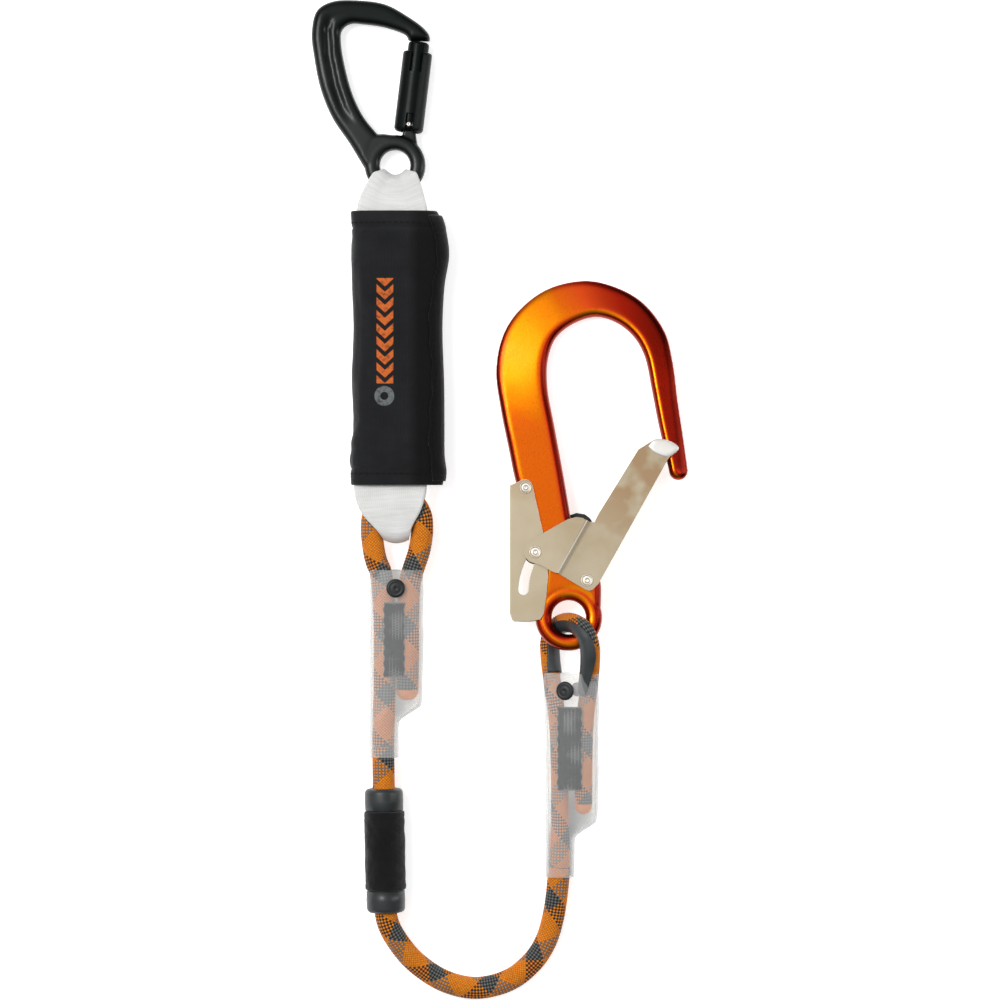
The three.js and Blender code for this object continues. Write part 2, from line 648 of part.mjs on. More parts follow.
function hookTrigger() {
  const { triggerPivot, rivetRadius, half } = HOOK;
  const outline = [
    [-38.2, 85.2], [-38.2, 2.6], [-36.7, -2.6], [-23.3, -2.6], [-17, -0.6], [-14.6, 13.7], [-13.4, 28.6],
    [-15.4, 40], [-16.6, 54.6], [-23.4, 85.2], ...arc(-28.4, 84.2, 5, 20, 110, 5),
  ];
  const slot = slotOutline(slotRoute(), rivetRadius + 0.5);
  const rivetHole = disc(...triggerPivot, rivetRadius + GAP, -20, 20, 16);
  const inside = half + GAP;
  const cheek = (low) => plate(outline, low, low + SHEET, { holes: [slot] });
  const web = box([-38.2, 2.6, -inside - SHEET / 2], [-38.2 + SHEET, 85.2, inside + SHEET / 2]);
  return cut(join(cheek(inside), cheek(-inside - SHEET), web), rivetHole);
}

function hookGate() {
  const { gatePivot, slotPin, rivetRadius, half } = HOOK;
  const near = half + GAP; // the arm's cheeks run beside the body
  const far = near + SHEET + GAP; // its wings run outside the trigger's cheeks
  const arm = [
    [19.2, 21.5], [64.4, 102.3], [69.6, 108.6], [67.5, 112.4], [62.7, 114.6], [55.6, 115.2], [45.2, 108.6],
    [18.8, 66], [16.6, 61.2], [9.4, 60.6], [-8.2, 29], [10.4, 17.9], [15.4, 17.6],
  ];
  const wing = [
    [12.6, 62.6], [4.9, 64], [-5.5, 60.5], [-15.9, 54.6], [-22.5, 50],
    ...arc(...slotPin, 7, 110, 250, 6), [-18, 33.4], [-11.4, 29.6], [-6.4, 27.2],
  ];
  const step = [[12.6, 62.6], [9.4, 60.6], [-8.2, 29], [-6.4, 27.2], [-4.6, 26], [15.4, 61.5]];
  const cheeks = [1, -1].flatMap((face) => {
    const span = (a, b) => [Math.min(face * a, face * b), Math.max(face * a, face * b)];
    return [
      plate(arm, ...span(near, near + SHEET)),
      plate(wing, ...span(far, far + SHEET)),
      plate(step, ...span(near, far + SHEET)),
    ];
  });
  const web = box([-SHEET, 12, -near - SHEET / 2], [0, 91, near + SHEET / 2]);
  web.rotateZ(-Math.atan2(45.2, 80.8)).translate(18.3, 20, 0);
  const pinHoles = [gatePivot, slotPin].map((at) => disc(...at, rivetRadius + GAP, -20, 20, 16));
  return cut(join(...cheeks, web), ...pinHoles);
}

// A rivet with a round head on each side.
function rivet([x, y], reach) {
  const head = 3.6;
  const heads = [1, -1].map((face) => {
    const [low, high] = [face * (reach + GAP), face * (reach + GAP + 1.1)].sort((a, b) => a - b);
    return disc(x, y, head, low, high, 16);
  });
  return join(disc(x, y, HOOK.rivetRadius, -reach - 1, reach + 1, 16), ...heads);
}

function bush([x, y]) {
  const { rivetRadius, half } = HOOK;
  return pipe(rivetRadius + GAP, rivetRadius + GAP + 1, -half + GAP, half - GAP, 16)
    .rotateX(Math.PI / 2)
    .translate(x, y, 0);
}

function scaffoldHook() {
  const { half, gatePivot, triggerPivot, slotPin } = HOOK;
  const cheek = half + GAP + SHEET;
  const gateSpring = coil(4.3, 5.6, 2.2, half - GAP, 3, 14).rotateX(Math.PI / 2);
  const group = new THREE.Group();
  group.position.set(...HOOK.eye);
  group.rotation.x = HOOK.tilt * RADIAN;
  group.add(
    piece("hook_body", hookBody(), ORANGE_ALLOY),
    piece("hook_gate", hookGate(), PLATED_STEEL),
    piece("hook_gate_rivet", rivet(gatePivot, cheek), PLATED_STEEL),
    piece("hook_gate_bush", bush(gatePivot), BRASS),
    piece("hook_gate_spring", gateSpring.translate(...gatePivot, 0), SPRING_STEEL),
    piece("hook_trigger", hookTrigger(), PLATED_STEEL),
    piece("hook_trigger_rivet", rivet(triggerPivot, cheek), PLATED_STEEL),
    piece("hook_trigger_bush", bush(triggerPivot), BRASS),
    piece("hook_slot_pin", rivet(slotPin, cheek + GAP + SHEET), PLATED_STEEL),
  );
  return group;
}

// ---------- the whole lanyard ----------

const upperEyePath = ropePath(UPPER_EYE_ROUTE);
const lanyard = new THREE.Group();
lanyard.add(karabiner(), absorber(upperEyePath), ropeAssembly(upperEyePath), grip(), scaffoldHook());

export default lanyard;
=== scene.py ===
"""Looks of the shock absorbing lanyard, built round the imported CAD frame. Lengths are written in
millimetres, in the CAD frame. mesh_object() and mm() turn them into the scene's metres."""

import math

import bmesh
import bpy
import mathutils.kdtree
import numpy as np
from mathutils import Matrix, Vector
from mathutils.geometry import delaunay_2d_cdt


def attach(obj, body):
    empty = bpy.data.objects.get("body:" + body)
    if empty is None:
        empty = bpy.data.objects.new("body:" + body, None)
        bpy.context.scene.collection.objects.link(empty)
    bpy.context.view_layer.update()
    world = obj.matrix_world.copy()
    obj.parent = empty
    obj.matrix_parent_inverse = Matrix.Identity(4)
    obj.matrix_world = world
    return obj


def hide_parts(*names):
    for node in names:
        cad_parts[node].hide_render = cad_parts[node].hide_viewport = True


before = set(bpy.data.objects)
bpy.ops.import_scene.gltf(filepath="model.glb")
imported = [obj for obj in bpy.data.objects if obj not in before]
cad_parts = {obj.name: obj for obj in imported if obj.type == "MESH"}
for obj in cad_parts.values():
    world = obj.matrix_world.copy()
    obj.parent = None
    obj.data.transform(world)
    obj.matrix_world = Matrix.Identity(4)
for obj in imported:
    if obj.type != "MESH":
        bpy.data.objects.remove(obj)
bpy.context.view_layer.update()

MM = 0.001

# ---------- places taken from the CAD ----------

KARABINER_EYE = np.array([-0.65, 119.6, 9.7])
KARABINER_BAR = 14.6  # radius of the eye ring's middle line
GATE_PIN = np.array([9.1, 26.3])  # from the karabiner's eye
GATE_LEAN = math.radians(-6.9)
COVER = {"left": -29.2, "right": 30.6, "bottom": -87.8, "top": 88.4}
ROPE_RADIUS = 7.0
EYE_ROPE_RADIUS = 5.5
ROPE_LEVEL = 13.5
GRIP_TOP = np.array([-7.9, -285.5, 13.5])
GRIP_LEAN = math.atan2(1.53, 83.0)
HOOK_EYE = np.array([112.1, -174.2, 21.0])
HOOK_TILT = math.radians(-4.1)

UPPER_EYE_ROUTE = [(x, y, ROPE_LEVEL) for x, y in [
    (-8.4, -258), (-7.9, -240), (-7.4, -215), (-7.4, -190), (-7.6, -172), (-8.6, -155.3), (-10, -145),
    (-13, -137.2), (-14.8, -128), (-15.7, -117.7), (-14.7, -107.5), (-9.6, -99.8), (0.65, -96.3),
    (10.9, -99.8), (16, -107.5), (17, -117.7), (15.4, -130), (12.6, -139), (10.4, -146), (8.7, -155.3),
    (8, -172), (8, -195), (7.4, -222),
]]

ROPE_ROUTE = [
    (-8.38, -258.4, 13.5), (-8.14, -272, 13.5), (-7.9, -285, 13.5), (-7.15, -325, 13.5),
    (-6.37, -368, 13.5), (-3.6, -377, 12.9), (1.9, -386.4, 11.2), (9.6, -396.1, 9.4),
    (18.7, -404, 8.0), (28.6, -410.2, 7.3), (39.7, -414.3, 7.1), (51.4, -416, 7.1), (63.7, -414.4, 7.1),
    (75.6, -409.8, 7.1), (84.7, -403, 7.1), (92.3, -394.6, 7.2), (98, -384.2, 7.5), (101.6, -372.5, 8.0),
    (103.8, -361, 8.6), (105.3, -348, 9.2), (106.2, -337, 9.8),
]

LOWER_EYE_ROUTE = [
    (106.2, -336.6, 9.8), (106.6, -318, 11.0), (106.5, -295, 12.3), (106.2, -270, 13.3),
    (105.6, -250, 13.9), (104.3, -236, 13.6), (102.4, -223, 12.6), (100.8, -211, 10.6), (99.6, -200, 8.3),
    (99.4, -191.5, 7.0), (100.8, -185.6, 7.1), (103.8, -180.8, 9.2), (107.8, -177.8, 14),
    (112.4, -176.8, 21), (117, -177.8, 28.4), (121, -180.8, 33.8), (124.4, -186, 35.9),
    (126.2, -193.5, 34.9), (126.5, -202, 31), (126, -211, 26.6), (124.8, -223, 22), (123.2, -236, 19.2),
    (122.3, -250, 17.6), (122, -270, 16.2), (121.8, -296, 14.6),
]

# ---------- geometry helpers ----------


def mm(*point):
    return tuple(value * MM for value in point)


def full_turn(count):
    """Angles spaced evenly once round."""
    return np.linspace(0, 2 * math.pi, count, endpoint=False)


def catmull(points, step):
    """Points about step apart on a smooth centripetal curve through the given ones."""
    p = np.array(points, float)
    p = np.vstack([2 * p[0] - p[1], p, 2 * p[-1] - p[-2]])
    out = []
    for i in range(1, len(p) - 2):
        p0, p1, p2, p3 = p[i - 1 : i + 3]
        t1 = math.sqrt(np.linalg.norm(p1 - p0))
        t2 = t1 + math.sqrt(np.linalg.norm(p2 - p1))
        t3 = t2 + math.sqrt(np.linalg.norm(p3 - p2))
        count = max(2, int(round(np.linalg.norm(p2 - p1) / step)))
        t = np.linspace(t1, t2, count, endpoint=False)[:, None]
        a1 = (t1 - t) / t1 * p0 + t / t1 * p1
        a2 = (t2 - t) / (t2 - t1) * p1 + (t - t1) / (t2 - t1) * p2
        a3 = (t3 - t) / (t3 - t2) * p2 + (t - t2) / (t3 - t2) * p3
        b1 = (t2 - t) / t2 * a1 + t / t2 * a2
        b2 = (t3 - t) / (t3 - t1) * a2 + (t - t1) / (t3 - t1) * a3
        out.append((t2 - t) / (t2 - t1) * b1 + (t - t1) / (t2 - t1) * b2)
    return np.vstack([*out, p[-2]])


def distances(points):
    """How far along the polyline each of its points lies."""
    gaps = np.linalg.norm(np.diff(points, axis=0), axis=1)
    return np.concatenate([[0], np.cumsum(gaps)])


def sampled(points, along, wanted):
    """The rows of points, which lie at the distances along, at the wanted distances instead."""
    return np.column_stack([np.interp(wanted, along, column) for column in points.T])


def evenly(points, step):
    """The polyline's points again, spaced evenly by about step."""
    points = np.asarray(points, float)
    along = distances(points)
    count = max(2, int(round(along[-1] / step)) + 1)
    return sampled(points, along, np.linspace(0, along[-1], count))


def smooth_curve(points, step):
    """Evenly spaced points on the smooth curve through the given ones."""
    return evenly(catmull(points, step / 4), step)


def directions(path):
    ahead = np.gradient(path, axis=0)
    return ahead / np.linalg.norm(ahead, axis=1)[:, None]


def frames(path, first_side=(0, 0, 1)):
    """Side and up at each point, turned as little as possible from point to point."""
    tangent = directions(path)
    side = np.zeros_like(path)
    current = np.array(first_side, float)
    for i, t in enumerate(tangent):
        current = current - t * (current @ t)
        current /= np.linalg.norm(current)
        side[i] = current
    return side, np.cross(tangent, side)


def swept(path, side, up, angle, reach):
    """Rings of points round a path. reach is one radius, or one for each angle, or for each ring too."""
    ring = np.cos(angle)[None, :, None] * side[:, None, :] + np.sin(angle)[None, :, None] * up[:, None, :]
    return path[:, None, :] + np.asarray(reach)[..., None] * ring


def in_scene(name, data):
    """A new object in the scene, from a mesh, a camera or a light."""
    made = bpy.data.objects.new(name, data)
    bpy.context.scene.collection.objects.link(made)
    return made


def mesh_object(name, points, faces, smooth=True):
    mesh = bpy.data.meshes.new(name)
    mesh.from_pydata((np.asarray(points, float) * MM).tolist(), [], faces)
    mesh.validate()
    if smooth:
        mesh.shade_smooth()
    return in_scene(name, mesh)


def grid_object(name, points, close_rows=False, uv=None):
    """A mesh over points[row, column], whose columns run round the piece. Its two ends are capped, or
    joined to each other by close_rows. uv[row, column] has one more column than points."""
    rows, columns = points.shape[:2]
    i, j = np.meshgrid(np.arange(rows if close_rows else rows - 1), np.arange(columns), indexing="ij")
    i, j = i.ravel(), j.ravel()
    i2, j2 = (i + 1) % rows, (j + 1) % columns
    faces = np.column_stack([i * columns + j, i * columns + j2, i2 * columns + j2, i2 * columns + j]).tolist()
    vertices = points.reshape(-1, 3)
    if not close_rows:
        first, last_row = len(vertices), (rows - 1) * columns
        vertices = np.vstack([vertices, points[0].mean(0), points[-1].mean(0)])
        for k in range(columns):
            after = (k + 1) % columns
            faces.append([first, after, k])
            faces.append([first + 1, last_row + k, last_row + after])
    piece = mesh_object(name, vertices, faces)
    if uv is not None:
        corners = np.stack([uv[i, j], uv[i, j + 1], uv[i + 1, j + 1], uv[i + 1, j]], axis=1).reshape(-1, 2)
        values = np.tile(uv[0, 0], (len(piece.data.loops), 1))
        values[: len(corners)] = corners
        piece.data.uv_layers.new(name="Weave").data.foreach_set("uv", values.ravel())
    return piece


def finish_mesh(piece):
    """Applies the piece's modifiers, so that its mesh is final."""
    graph = bpy.context.evaluated_depsgraph_get()
    made = bpy.data.meshes.new_from_object(piece.evaluated_get(graph))
    old = piece.data
    piece.modifiers.clear()
    piece.data = made
    made.name = piece.name
    bpy.data.meshes.remove(old)
    return piece


def tidied(piece, outward=True, flatten=False):
    """Drops the points without a face. It can also turn the faces outward and join those in one plane."""
    bm = bmesh.new()
    bm.from_mesh(piece.data)
    bmesh.ops.delete(bm, geom=[v for v in bm.verts if not v.link_faces], context="VERTS")
    if outward:
        bmesh.ops.recalc_face_normals(bm, faces=bm.faces)
    if flatten:
        bmesh.ops.dissolve_limit(bm, angle_limit=0.02, verts=bm.verts, edges=bm.edges, delimit={"NORMAL"})
    bm.to_mesh(piece.data)
    bm.free()
    return piece


def fused(name, parts, voxel, rounds):
    """The parts grown together into one skin, as a forging is."""
    bm = bmesh.new()
    for part in parts:
        bm.from_mesh(part.data)
        bpy.data.objects.remove(part)
    mesh = bpy.data.meshes.new(name)
    bm.to_mesh(mesh)
    bm.free()
    piece = in_scene(name, mesh)
    remesh = piece.modifiers.new("fuse", "REMESH")
    remesh.mode = "VOXEL"
    remesh.voxel_size = voxel * MM
    soften = piece.modifiers.new("soften", "SMOOTH")
    soften.factor = 0.5
    soften.iterations = rounds
    finish_mesh(piece)
    piece.data.shade_smooth()
    return piece


def combined(operation, piece, others):
    """The piece joined with the others (UNION), or with the others cut away (DIFFERENCE)."""
    for other in others:
        modifier = piece.modifiers.new("combine", "BOOLEAN")
        modifier.operation = operation
        modifier.solver = "EXACT"
        modifier.object = other
    finish_mesh(piece)
    for other in others:
        bpy.data.objects.remove(other)
    return piece


def bevelled(piece, width, segments=2, angle=35):
    modifier = piece.modifiers.new("bevel", "BEVEL")
    modifier.width = width * MM
    modifier.segments = segments
    modifier.limit_method = "ANGLE"
    modifier.angle_limit = math.radians(angle)
    finish_mesh(piece)
    piece.data.shade_smooth()
    piece.data.set_sharp_from_angle(angle=math.radians(angle))
    even = piece.modifiers.new("even", "WEIGHTED_NORMAL")
    even.keep_sharp = True
    even.weight = 100
    return finish_mesh(piece)


def lathe(name, profile, sides=48, hollow=False):
    """A profile of (radius, height) pairs turned about the Y axis. If hollow, its ends join each other."""
    radius, height = np.hsplit(np.array(profile, float), 2)
    turn = full_turn(sides)
    points = np.stack([radius * np.sin(turn), height + 0 * turn, radius * np.cos(turn)], axis=2)
    return grid_object(name, points, close_rows=hollow)


def place(piece, origin, turn=(0, 0, 0)):
    """Turns the piece by Euler angles about its own origin and moves it to origin, in millimetres."""
    matrix = Matrix.Translation(mm(*origin))
    for angle, axis in zip(turn, "XYZ"):
        matrix = matrix @ Matrix.Rotation(angle, 4, axis)
    piece.data.transform(matrix)
    return piece


def upright(piece, x=0.0, y=0.0):
    """Stands a turned piece's Y axis up along Z."""
    return place(piece, (x, y, 0), (math.pi / 2, 0, 0))


def arc(x, y, radius, start, end, steps):
    angles = np.radians(np.linspace(start, end, steps + 1))
    return [(x + radius * math.cos(a), y + radius * math.sin(a)) for a in angles]


def tilt_hook(piece):
    """From the hook's own frame to the scene's."""
    return place(piece, HOOK_EYE, (HOOK_TILT, 0, 0))


def show(piece, body, slot, material, *nodes):
    """Gives the piece its body, its finish and the CAD nodes that it stands for."""
    piece.data.materials.clear()
    piece.data.materials.append(material)
    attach(piece, body)
    if nodes:
        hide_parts(*nodes)


# ---------- material helpers ----------


def linear(red, green, blue):
    """A colour from 0-255 display values."""
    def channel(value):
        value /= 255
        return value / 12.92 if value <= 0.04045 else ((value + 0.055) / 1.055) ** 2.4
    return (channel(red), channel(green), channel(blue), 1.0)


def set_stops(ramp, stops):
    """Gives a colour ramp its stops, each a position with a colour or a grey."""
    while len(ramp.elements) < len(stops):
        ramp.elements.new(0.5)
    for element, (position, colour) in zip(ramp.elements, stops):
        element.position = position
        element.color = colour if len(np.shape(colour)) else (colour, colour, colour, 1)


class Finish:
    """A node material, built call by call. Settings name the shader's own sockets."""

    def __init__(self, name, **settings):
        self.material = bpy.data.materials.new(name)
        self.material.use_nodes = True
        self.tree = self.material.node_tree
        self.tree.nodes.clear()
        self.shader = self.node("ShaderNodeBsdfPrincipled")
        self.output = self.node("ShaderNodeOutputMaterial")
        self.link(self.shader.outputs["BSDF"], self.output.inputs["Surface"])
        for key, value in settings.items():
            self.shade(key.replace("_", " "), value)

    def node(self, kind, **settings):
        made = self.tree.nodes.new(kind)
        for key, value in settings.items():
            setattr(made, key, value)
        return made

    def link(self, start, end):
        self.tree.links.new(start, end)

    def put(self, socket, value):
        if isinstance(value, bpy.types.NodeSocket):
            self.link(value, socket)
        else:
            socket.default_value = value

    def shade(self, socket, value):
        self.put(self.shader.inputs[socket], value)

    def math(self, operation, a, b=0.0, c=0.0):
        made = self.node("ShaderNodeMath", operation=operation)
        for socket, value in zip(made.inputs, (a, b, c)):
            self.put(socket, value)
        return made.outputs[0]

    def plus(self, a, b):
        return self.math("ADD", a, b)

    def minus(self, a, b):
        return self.math("SUBTRACT", a, b)

    def times(self, a, b):
        return self.math("MULTIPLY", a, b)

    def mix(self, factor, a, b, blend="MIX"):
        made = self.node("ShaderNodeMix", data_type="RGBA", blend_type=blend)
        self.put(made.inputs["Factor"], factor)
        self.put(made.inputs[6], a)
        self.put(made.inputs[7], b)
        return made.outputs[2]

    def place(self):
        return self.node("ShaderNodeTexCoord").outputs["Object"]

    def xyz(self, socket):
        split = self.node("ShaderNodeSeparateXYZ")
        self.link(socket, split.inputs[0])
        return split.outputs

    def uv(self):
        """Across and along a woven piece."""
        made = self.node("ShaderNodeUVMap", uv_map="Weave")
        return self.xyz(made.outputs["UV"])[:2]

    def stretched(self, *scales):
        """The place in the scene, at its own scale along each axis."""
        made = self.node("ShaderNodeMapping")
        made.inputs["Scale"].default_value = scales
        self.link(self.place(), made.inputs["Vector"])
        return made.outputs[0]

    def noise(self, scale, detail=3.0, where=None):
        made = self.node("ShaderNodeTexNoise")
        self.link(where or self.place(), made.inputs["Vector"])
        made.inputs["Scale"].default_value = scale
        made.inputs["Detail"].default_value = detail
        made.inputs["Roughness"].default_value = 0.55
        return made.outputs["Fac"]

    def ramp(self, value, *stops):
        made = self.node("ShaderNodeValToRGB")
        self.link(value, made.inputs[0])
        set_stops(made.color_ramp, stops)
        return made.outputs[0]

    def rise(self, value, low, high):
        """From 0 where value is low to 1 where it is high."""
        return self.ramp(value, (low, 0.0), (high, 1.0))

    def mottled(self, colour, light, scale, detail=4, low=0.3, high=0.7):
        """A colour with lighter clouds in it."""
        return self.mix(self.rise(self.noise(scale, detail), low, high), colour, light)

    def threads(self, value, pitch):
        """Round ridges, one for each pitch of value."""
        return self.math("ABSOLUTE", self.math("SINE", self.times(value, math.pi / pitch)))

    def rough(self, grain, low, high):
        """Roughness between two values, by a grain."""
        self.shade("Roughness", self.ramp(grain, (0.3, low), (0.7, high)))

    def bump(self, *layers):
        """Bump from (height, strength, distance in millimetres) layers, one over another."""
        normal = None
        for height, strength, distance in layers:
            made = self.node("ShaderNodeBump")
            made.inputs["Strength"].default_value = strength
            made.inputs["Distance"].default_value = distance * MM
            self.link(height, made.inputs["Height"])
            if normal:
                self.link(normal, made.inputs["Normal"])
            normal = made.outputs[0]
        self.shade("Normal", normal)


# ---------- camera, light and floor ----------


def make_camera():
    """Straight above the middle. It takes in width at the height level."""
    lens, sensor = 135.0, 36.0
    width, level = 650.0, 13.0
    data = bpy.data.cameras.new("camera")
    data.lens = lens
    data.sensor_width = sensor
    data.clip_start = 0.05
    data.clip_end = 20
    camera = in_scene("camera", data)
    camera.location = mm(67.6, -98.15, level + width * lens / sensor)
    bpy.context.scene.camera = camera


def area_light(name, size, power, place_at, aim):
    data = bpy.data.lights.new(name, "AREA")
    data.shape = "RECTANGLE"
    data.size, data.size_y = size
    data.energy = power
    light = in_scene(name, data)
    light.location = place_at
    direction = Vector(aim) - Vector(place_at)
    light.rotation_euler = direction.to_track_quat("-Z", "Y").to_euler()


def make_studio():
    scene = bpy.context.scene
    scene.view_settings.view_transform = "Standard"
    world = bpy.data.worlds.new("studio")
    world.use_nodes = True
    tree = world.node_tree
    tree.nodes.clear()
    output = tree.nodes.new("ShaderNodeOutputWorld")
    background = tree.nodes.new("ShaderNodeBackground")
    where = tree.nodes.new("ShaderNodeTexCoord")
    toward = tree.nodes.new("ShaderNodeVectorMath")
    toward.operation = "DOT_PRODUCT"
    toward.inputs[1].default_value = (-0.45, 0.30, 0.84)
    ramp = tree.nodes.new("ShaderNodeValToRGB")
    set_stops(ramp.color_ramp, [(0.0, 0.04), (0.35, 0.13), (0.62, 0.40), (0.80, 0.66), (1.0, 0.88)])
    tree.links.new(where.outputs["Generated"], toward.inputs[0])
    tree.links.new(toward.outputs["Value"], ramp.inputs[0])
    # What lies past the floor is seen as a pale wall, whatever it lends to the light.
    seen = tree.nodes.new("ShaderNodeLightPath")
    wall = tree.nodes.new("ShaderNodeMix")
    wall.data_type = "RGBA"
    wall.inputs[7].default_value = (0.94, 0.94, 0.94, 1)
    tree.links.new(seen.outputs["Is Camera Ray"], wall.inputs["Factor"])
    tree.links.new(ramp.outputs[0], wall.inputs[6])
    tree.links.new(wall.outputs[2], background.inputs["Color"])
    background.inputs["Strength"].default_value = 1.0
    tree.links.new(background.outputs[0], output.inputs["Surface"])
    scene.world = world
    middle = (0.06, -0.1, 0)
    area_light("left_softbox", (0.6, 0.8), 23, (-0.86, 0.38, 1.88), middle)
    area_light("right_softbox", (0.4, 1.4), 9, (1.5, 0.1, 0.8), middle)


def make_floor():
    reach = 6000
    corners = [(x * reach, y * reach, 0) for x, y in ((-1, -1), (1, -1), (1, 1), (-1, 1))]
    floor = mesh_object("floor", corners, [[0, 1, 2, 3]])
    finish = Finish("floor", Roughness=0.9, Emission_Color=(1, 1, 1, 1), Emission_Strength=0.62)
    finish.shade("Base Color", finish.mix(finish.noise(40, 2), linear(246, 246, 246), linear(249, 249, 249)))
    floor.data.materials.append(finish.material)


# ---------- rope ----------

CARRIERS = 20  # strands each way round the sheath
BRAID_PITCH = 1.93  # millimetres of rope for one strand's width along it
ORANGE_STRANDS = 12  # of the carriers each way
YARNS = 5  # ridges along each strand


def rope_finish():
    """Strands that cross over and under. Each way round, some are orange and the others grey."""
    finish = Finish("rope_sheath", Roughness=0.8, Sheen_Weight=0.15, Specular_IOR_Level=0.25)
    u, v = finish.uv()
    fibres = finish.noise(900, 2)
    orange = finish.ramp(fibres, (0.3, linear(226, 116, 8)), (0.7, linear(248, 156, 34)))
    indexes, colours, middles, yarns = [], [], [], []
    right, left = finish.plus(u, v), finish.minus(u, v)
    for across, grey in ((right, linear(42, 44, 44)), (left, linear(112, 114, 112))):
        index = finish.math("FLOOR", across)
        carrier = finish.math("FLOORED_MODULO", index, CARRIERS)
        is_orange = finish.math("LESS_THAN", carrier, ORANGE_STRANDS - 0.5)
        indexes.append(index)
        colours.append(finish.mix(is_orange, grey, orange))
        middles.append(finish.math("PINGPONG", across, 0.5))
        yarns.append(finish.math("SINE", finish.times(across, 2 * math.pi * YARNS)))
    left_on_top = finish.math("GREATER_THAN", finish.math("FLOORED_MODULO", finish.plus(*indexes), 2), 0.5)
    strand = finish.mix(left_on_top, *colours)
    # Painted shade: each strand is darker towards its edges, in the grooves between strands.
    shade = finish.ramp(finish.math("MINIMUM", *middles), (0.0, 0.42), (0.22, 1.0))
    finish.shade("Base Color", finish.mix(1.0, strand, shade, "MULTIPLY"))
    yarn = finish.node("ShaderNodeMix", data_type="FLOAT")
    for socket, value in zip((0, 2, 3), (left_on_top, *yarns)):
        finish.put(yarn.inputs[socket], value)
    finish.bump((yarn.outputs[0], 0.35, 0.12), (fibres, 0.3, 0.1))
    return finish.material


def braided_tube(name, path, radius, turn, slide, start=None):
    """A rope whose crossing strands stand up from its sheath. turn and slide move the pattern.

    start is its radius where it begins, if that differs.
    """
    columns_per_strand, relief, taper = 4, 0.34, 28
    path = evenly(path, 0.5)
    distance = distances(path)
    u = np.arange(CARRIERS * columns_per_strand + 1) / columns_per_strand
    uu, vv = np.meshgrid(u + turn, distance / BRAID_PITCH + slide)
    dome = (np.abs(np.sin(math.pi * (uu + vv))) * np.abs(np.sin(math.pi * (uu - vv)))) ** 0.7
    reach = np.interp(distance, [0, taper], [start or radius, radius])[:, None] + relief * (dome * 2 - 1)
    points = swept(path, *frames(path), 2 * math.pi * u[:-1] / CARRIERS, reach[:, :-1])
    return grid_object(name, points, uv=np.stack([uu, vv], axis=2))


def make_rope(finish):
    route = smooth_curve(ROPE_ROUTE, 1.0)
    rope = braided_tube("rope_run_braid", route, ROPE_RADIUS, turn=8.5, slide=6.4)
    show(rope, "rope", "rope_sheath", finish, "rope_run")
    upper_route = smooth_curve(UPPER_EYE_ROUTE, 1.0)
    upper_eye = braided_tube("upper_eye_braid", upper_route, ROPE_RADIUS, turn=5.0, slide=12.3)
    show(upper_eye, "rope", "rope_sheath", finish, "upper_rope_eye")
    lower_route = smooth_curve(LOWER_EYE_ROUTE, 1.0)
    lower_eye = braided_tube(
        "lower_eye_braid", lower_route, EYE_ROPE_RADIUS, turn=2.0, slide=0.0, start=ROPE_RADIUS
    )
    show(lower_eye, "rope", "rope_sheath", finish, "lower_rope_eye")


# ---------- surfaces from outlines ----------


def edge_distance(points, loop):
    """Distance from each point to the nearest side of the closed loop."""
    best = np.full(len(points), 1e9)
    for a, b in zip(loop, np.roll(loop, -1, axis=0)):
        side = b - a
        along = np.clip((points - a) @ side / max(side @ side, 1e-12), 0, 1)
        best = np.minimum(best, np.linalg.norm(points - a - along[:, None] * side, axis=1))
    return best


def inside(points, loop):
    """True where a point is within the loop."""
    found = np.zeros(len(points), bool)
    x, y = points[:, 0], points[:, 1]
    for (x1, y1), (x2, y2) in zip(loop, np.roll(loop, -1, axis=0)):
        crosses = (y1 > y) != (y2 > y)
        if y1 != y2:
            found ^= crosses & (x < (x2 - x1) * (y - y1) / (y2 - y1) + x1)
    return found


def filled(loop, *others):
    """Flat faces over the area within the loop, through the other points too."""
    count = len(loop)
    sides = [(i, (i + 1) % count) for i in range(count)]
    points = [Vector(p) for p in np.vstack([loop, *others])]
    flat, _, faces, *_ = delaunay_2d_cdt(points, sides, [], 1, 1e-5)
    flat = np.array([tuple(v) for v in flat])
    middles = np.array([flat[list(face)].mean(0) for face in faces])
    return flat, [list(face) for face, kept in zip(faces, inside(middles, loop)) if kept]


def inflated(name, outline, height, spacing=1.6, insets=(0.15, 0.5, 1.1, 1.9, 2.9, 4.2)):
    """A body the same above and below its plane. height(points, inset) is its half thickness."""
    loop = np.array(outline, float)
    loop = evenly(np.vstack([loop, loop[:1]]), spacing)[:-1]
    heading = np.roll(loop, -1, axis=0) - np.roll(loop, 1, axis=0)
    normal = np.column_stack([-heading[:, 1], heading[:, 0]])
    normal /= np.linalg.norm(normal, axis=1)[:, None]
    if not inside(loop[:1] + normal[:1] * 0.3, loop)[0]:
        normal = -normal
    rings = []
    for inset in insets:
        ring = loop + normal * inset
        keep = inside(ring, loop) & (edge_distance(ring, loop) > inset * 0.93)
        rings.append(ring[keep])
    low, high = loop.min(0), loop.max(0)
    across, up = np.meshgrid(np.arange(low[0], high[0], spacing), np.arange(low[1], high[1], spacing))
    filling = np.column_stack([across.ravel(), up.ravel()])
    filling = filling[inside(filling, loop)]
    filling = filling[edge_distance(filling, loop) > insets[-1] + spacing * 0.5]
    flat, faces = filled(loop, *rings, filling)
    inset = edge_distance(flat, loop)
    half = height(flat, inset)
    rim = inset < 1e-4
    half[rim] = 0
    below = [[v if rim[v] else v + len(flat) for v in face[::-1]] for face in faces]
    points = np.vstack([np.column_stack([flat, half]), np.column_stack([flat, -half])])
    return tidied(mesh_object(name, points, faces + below))


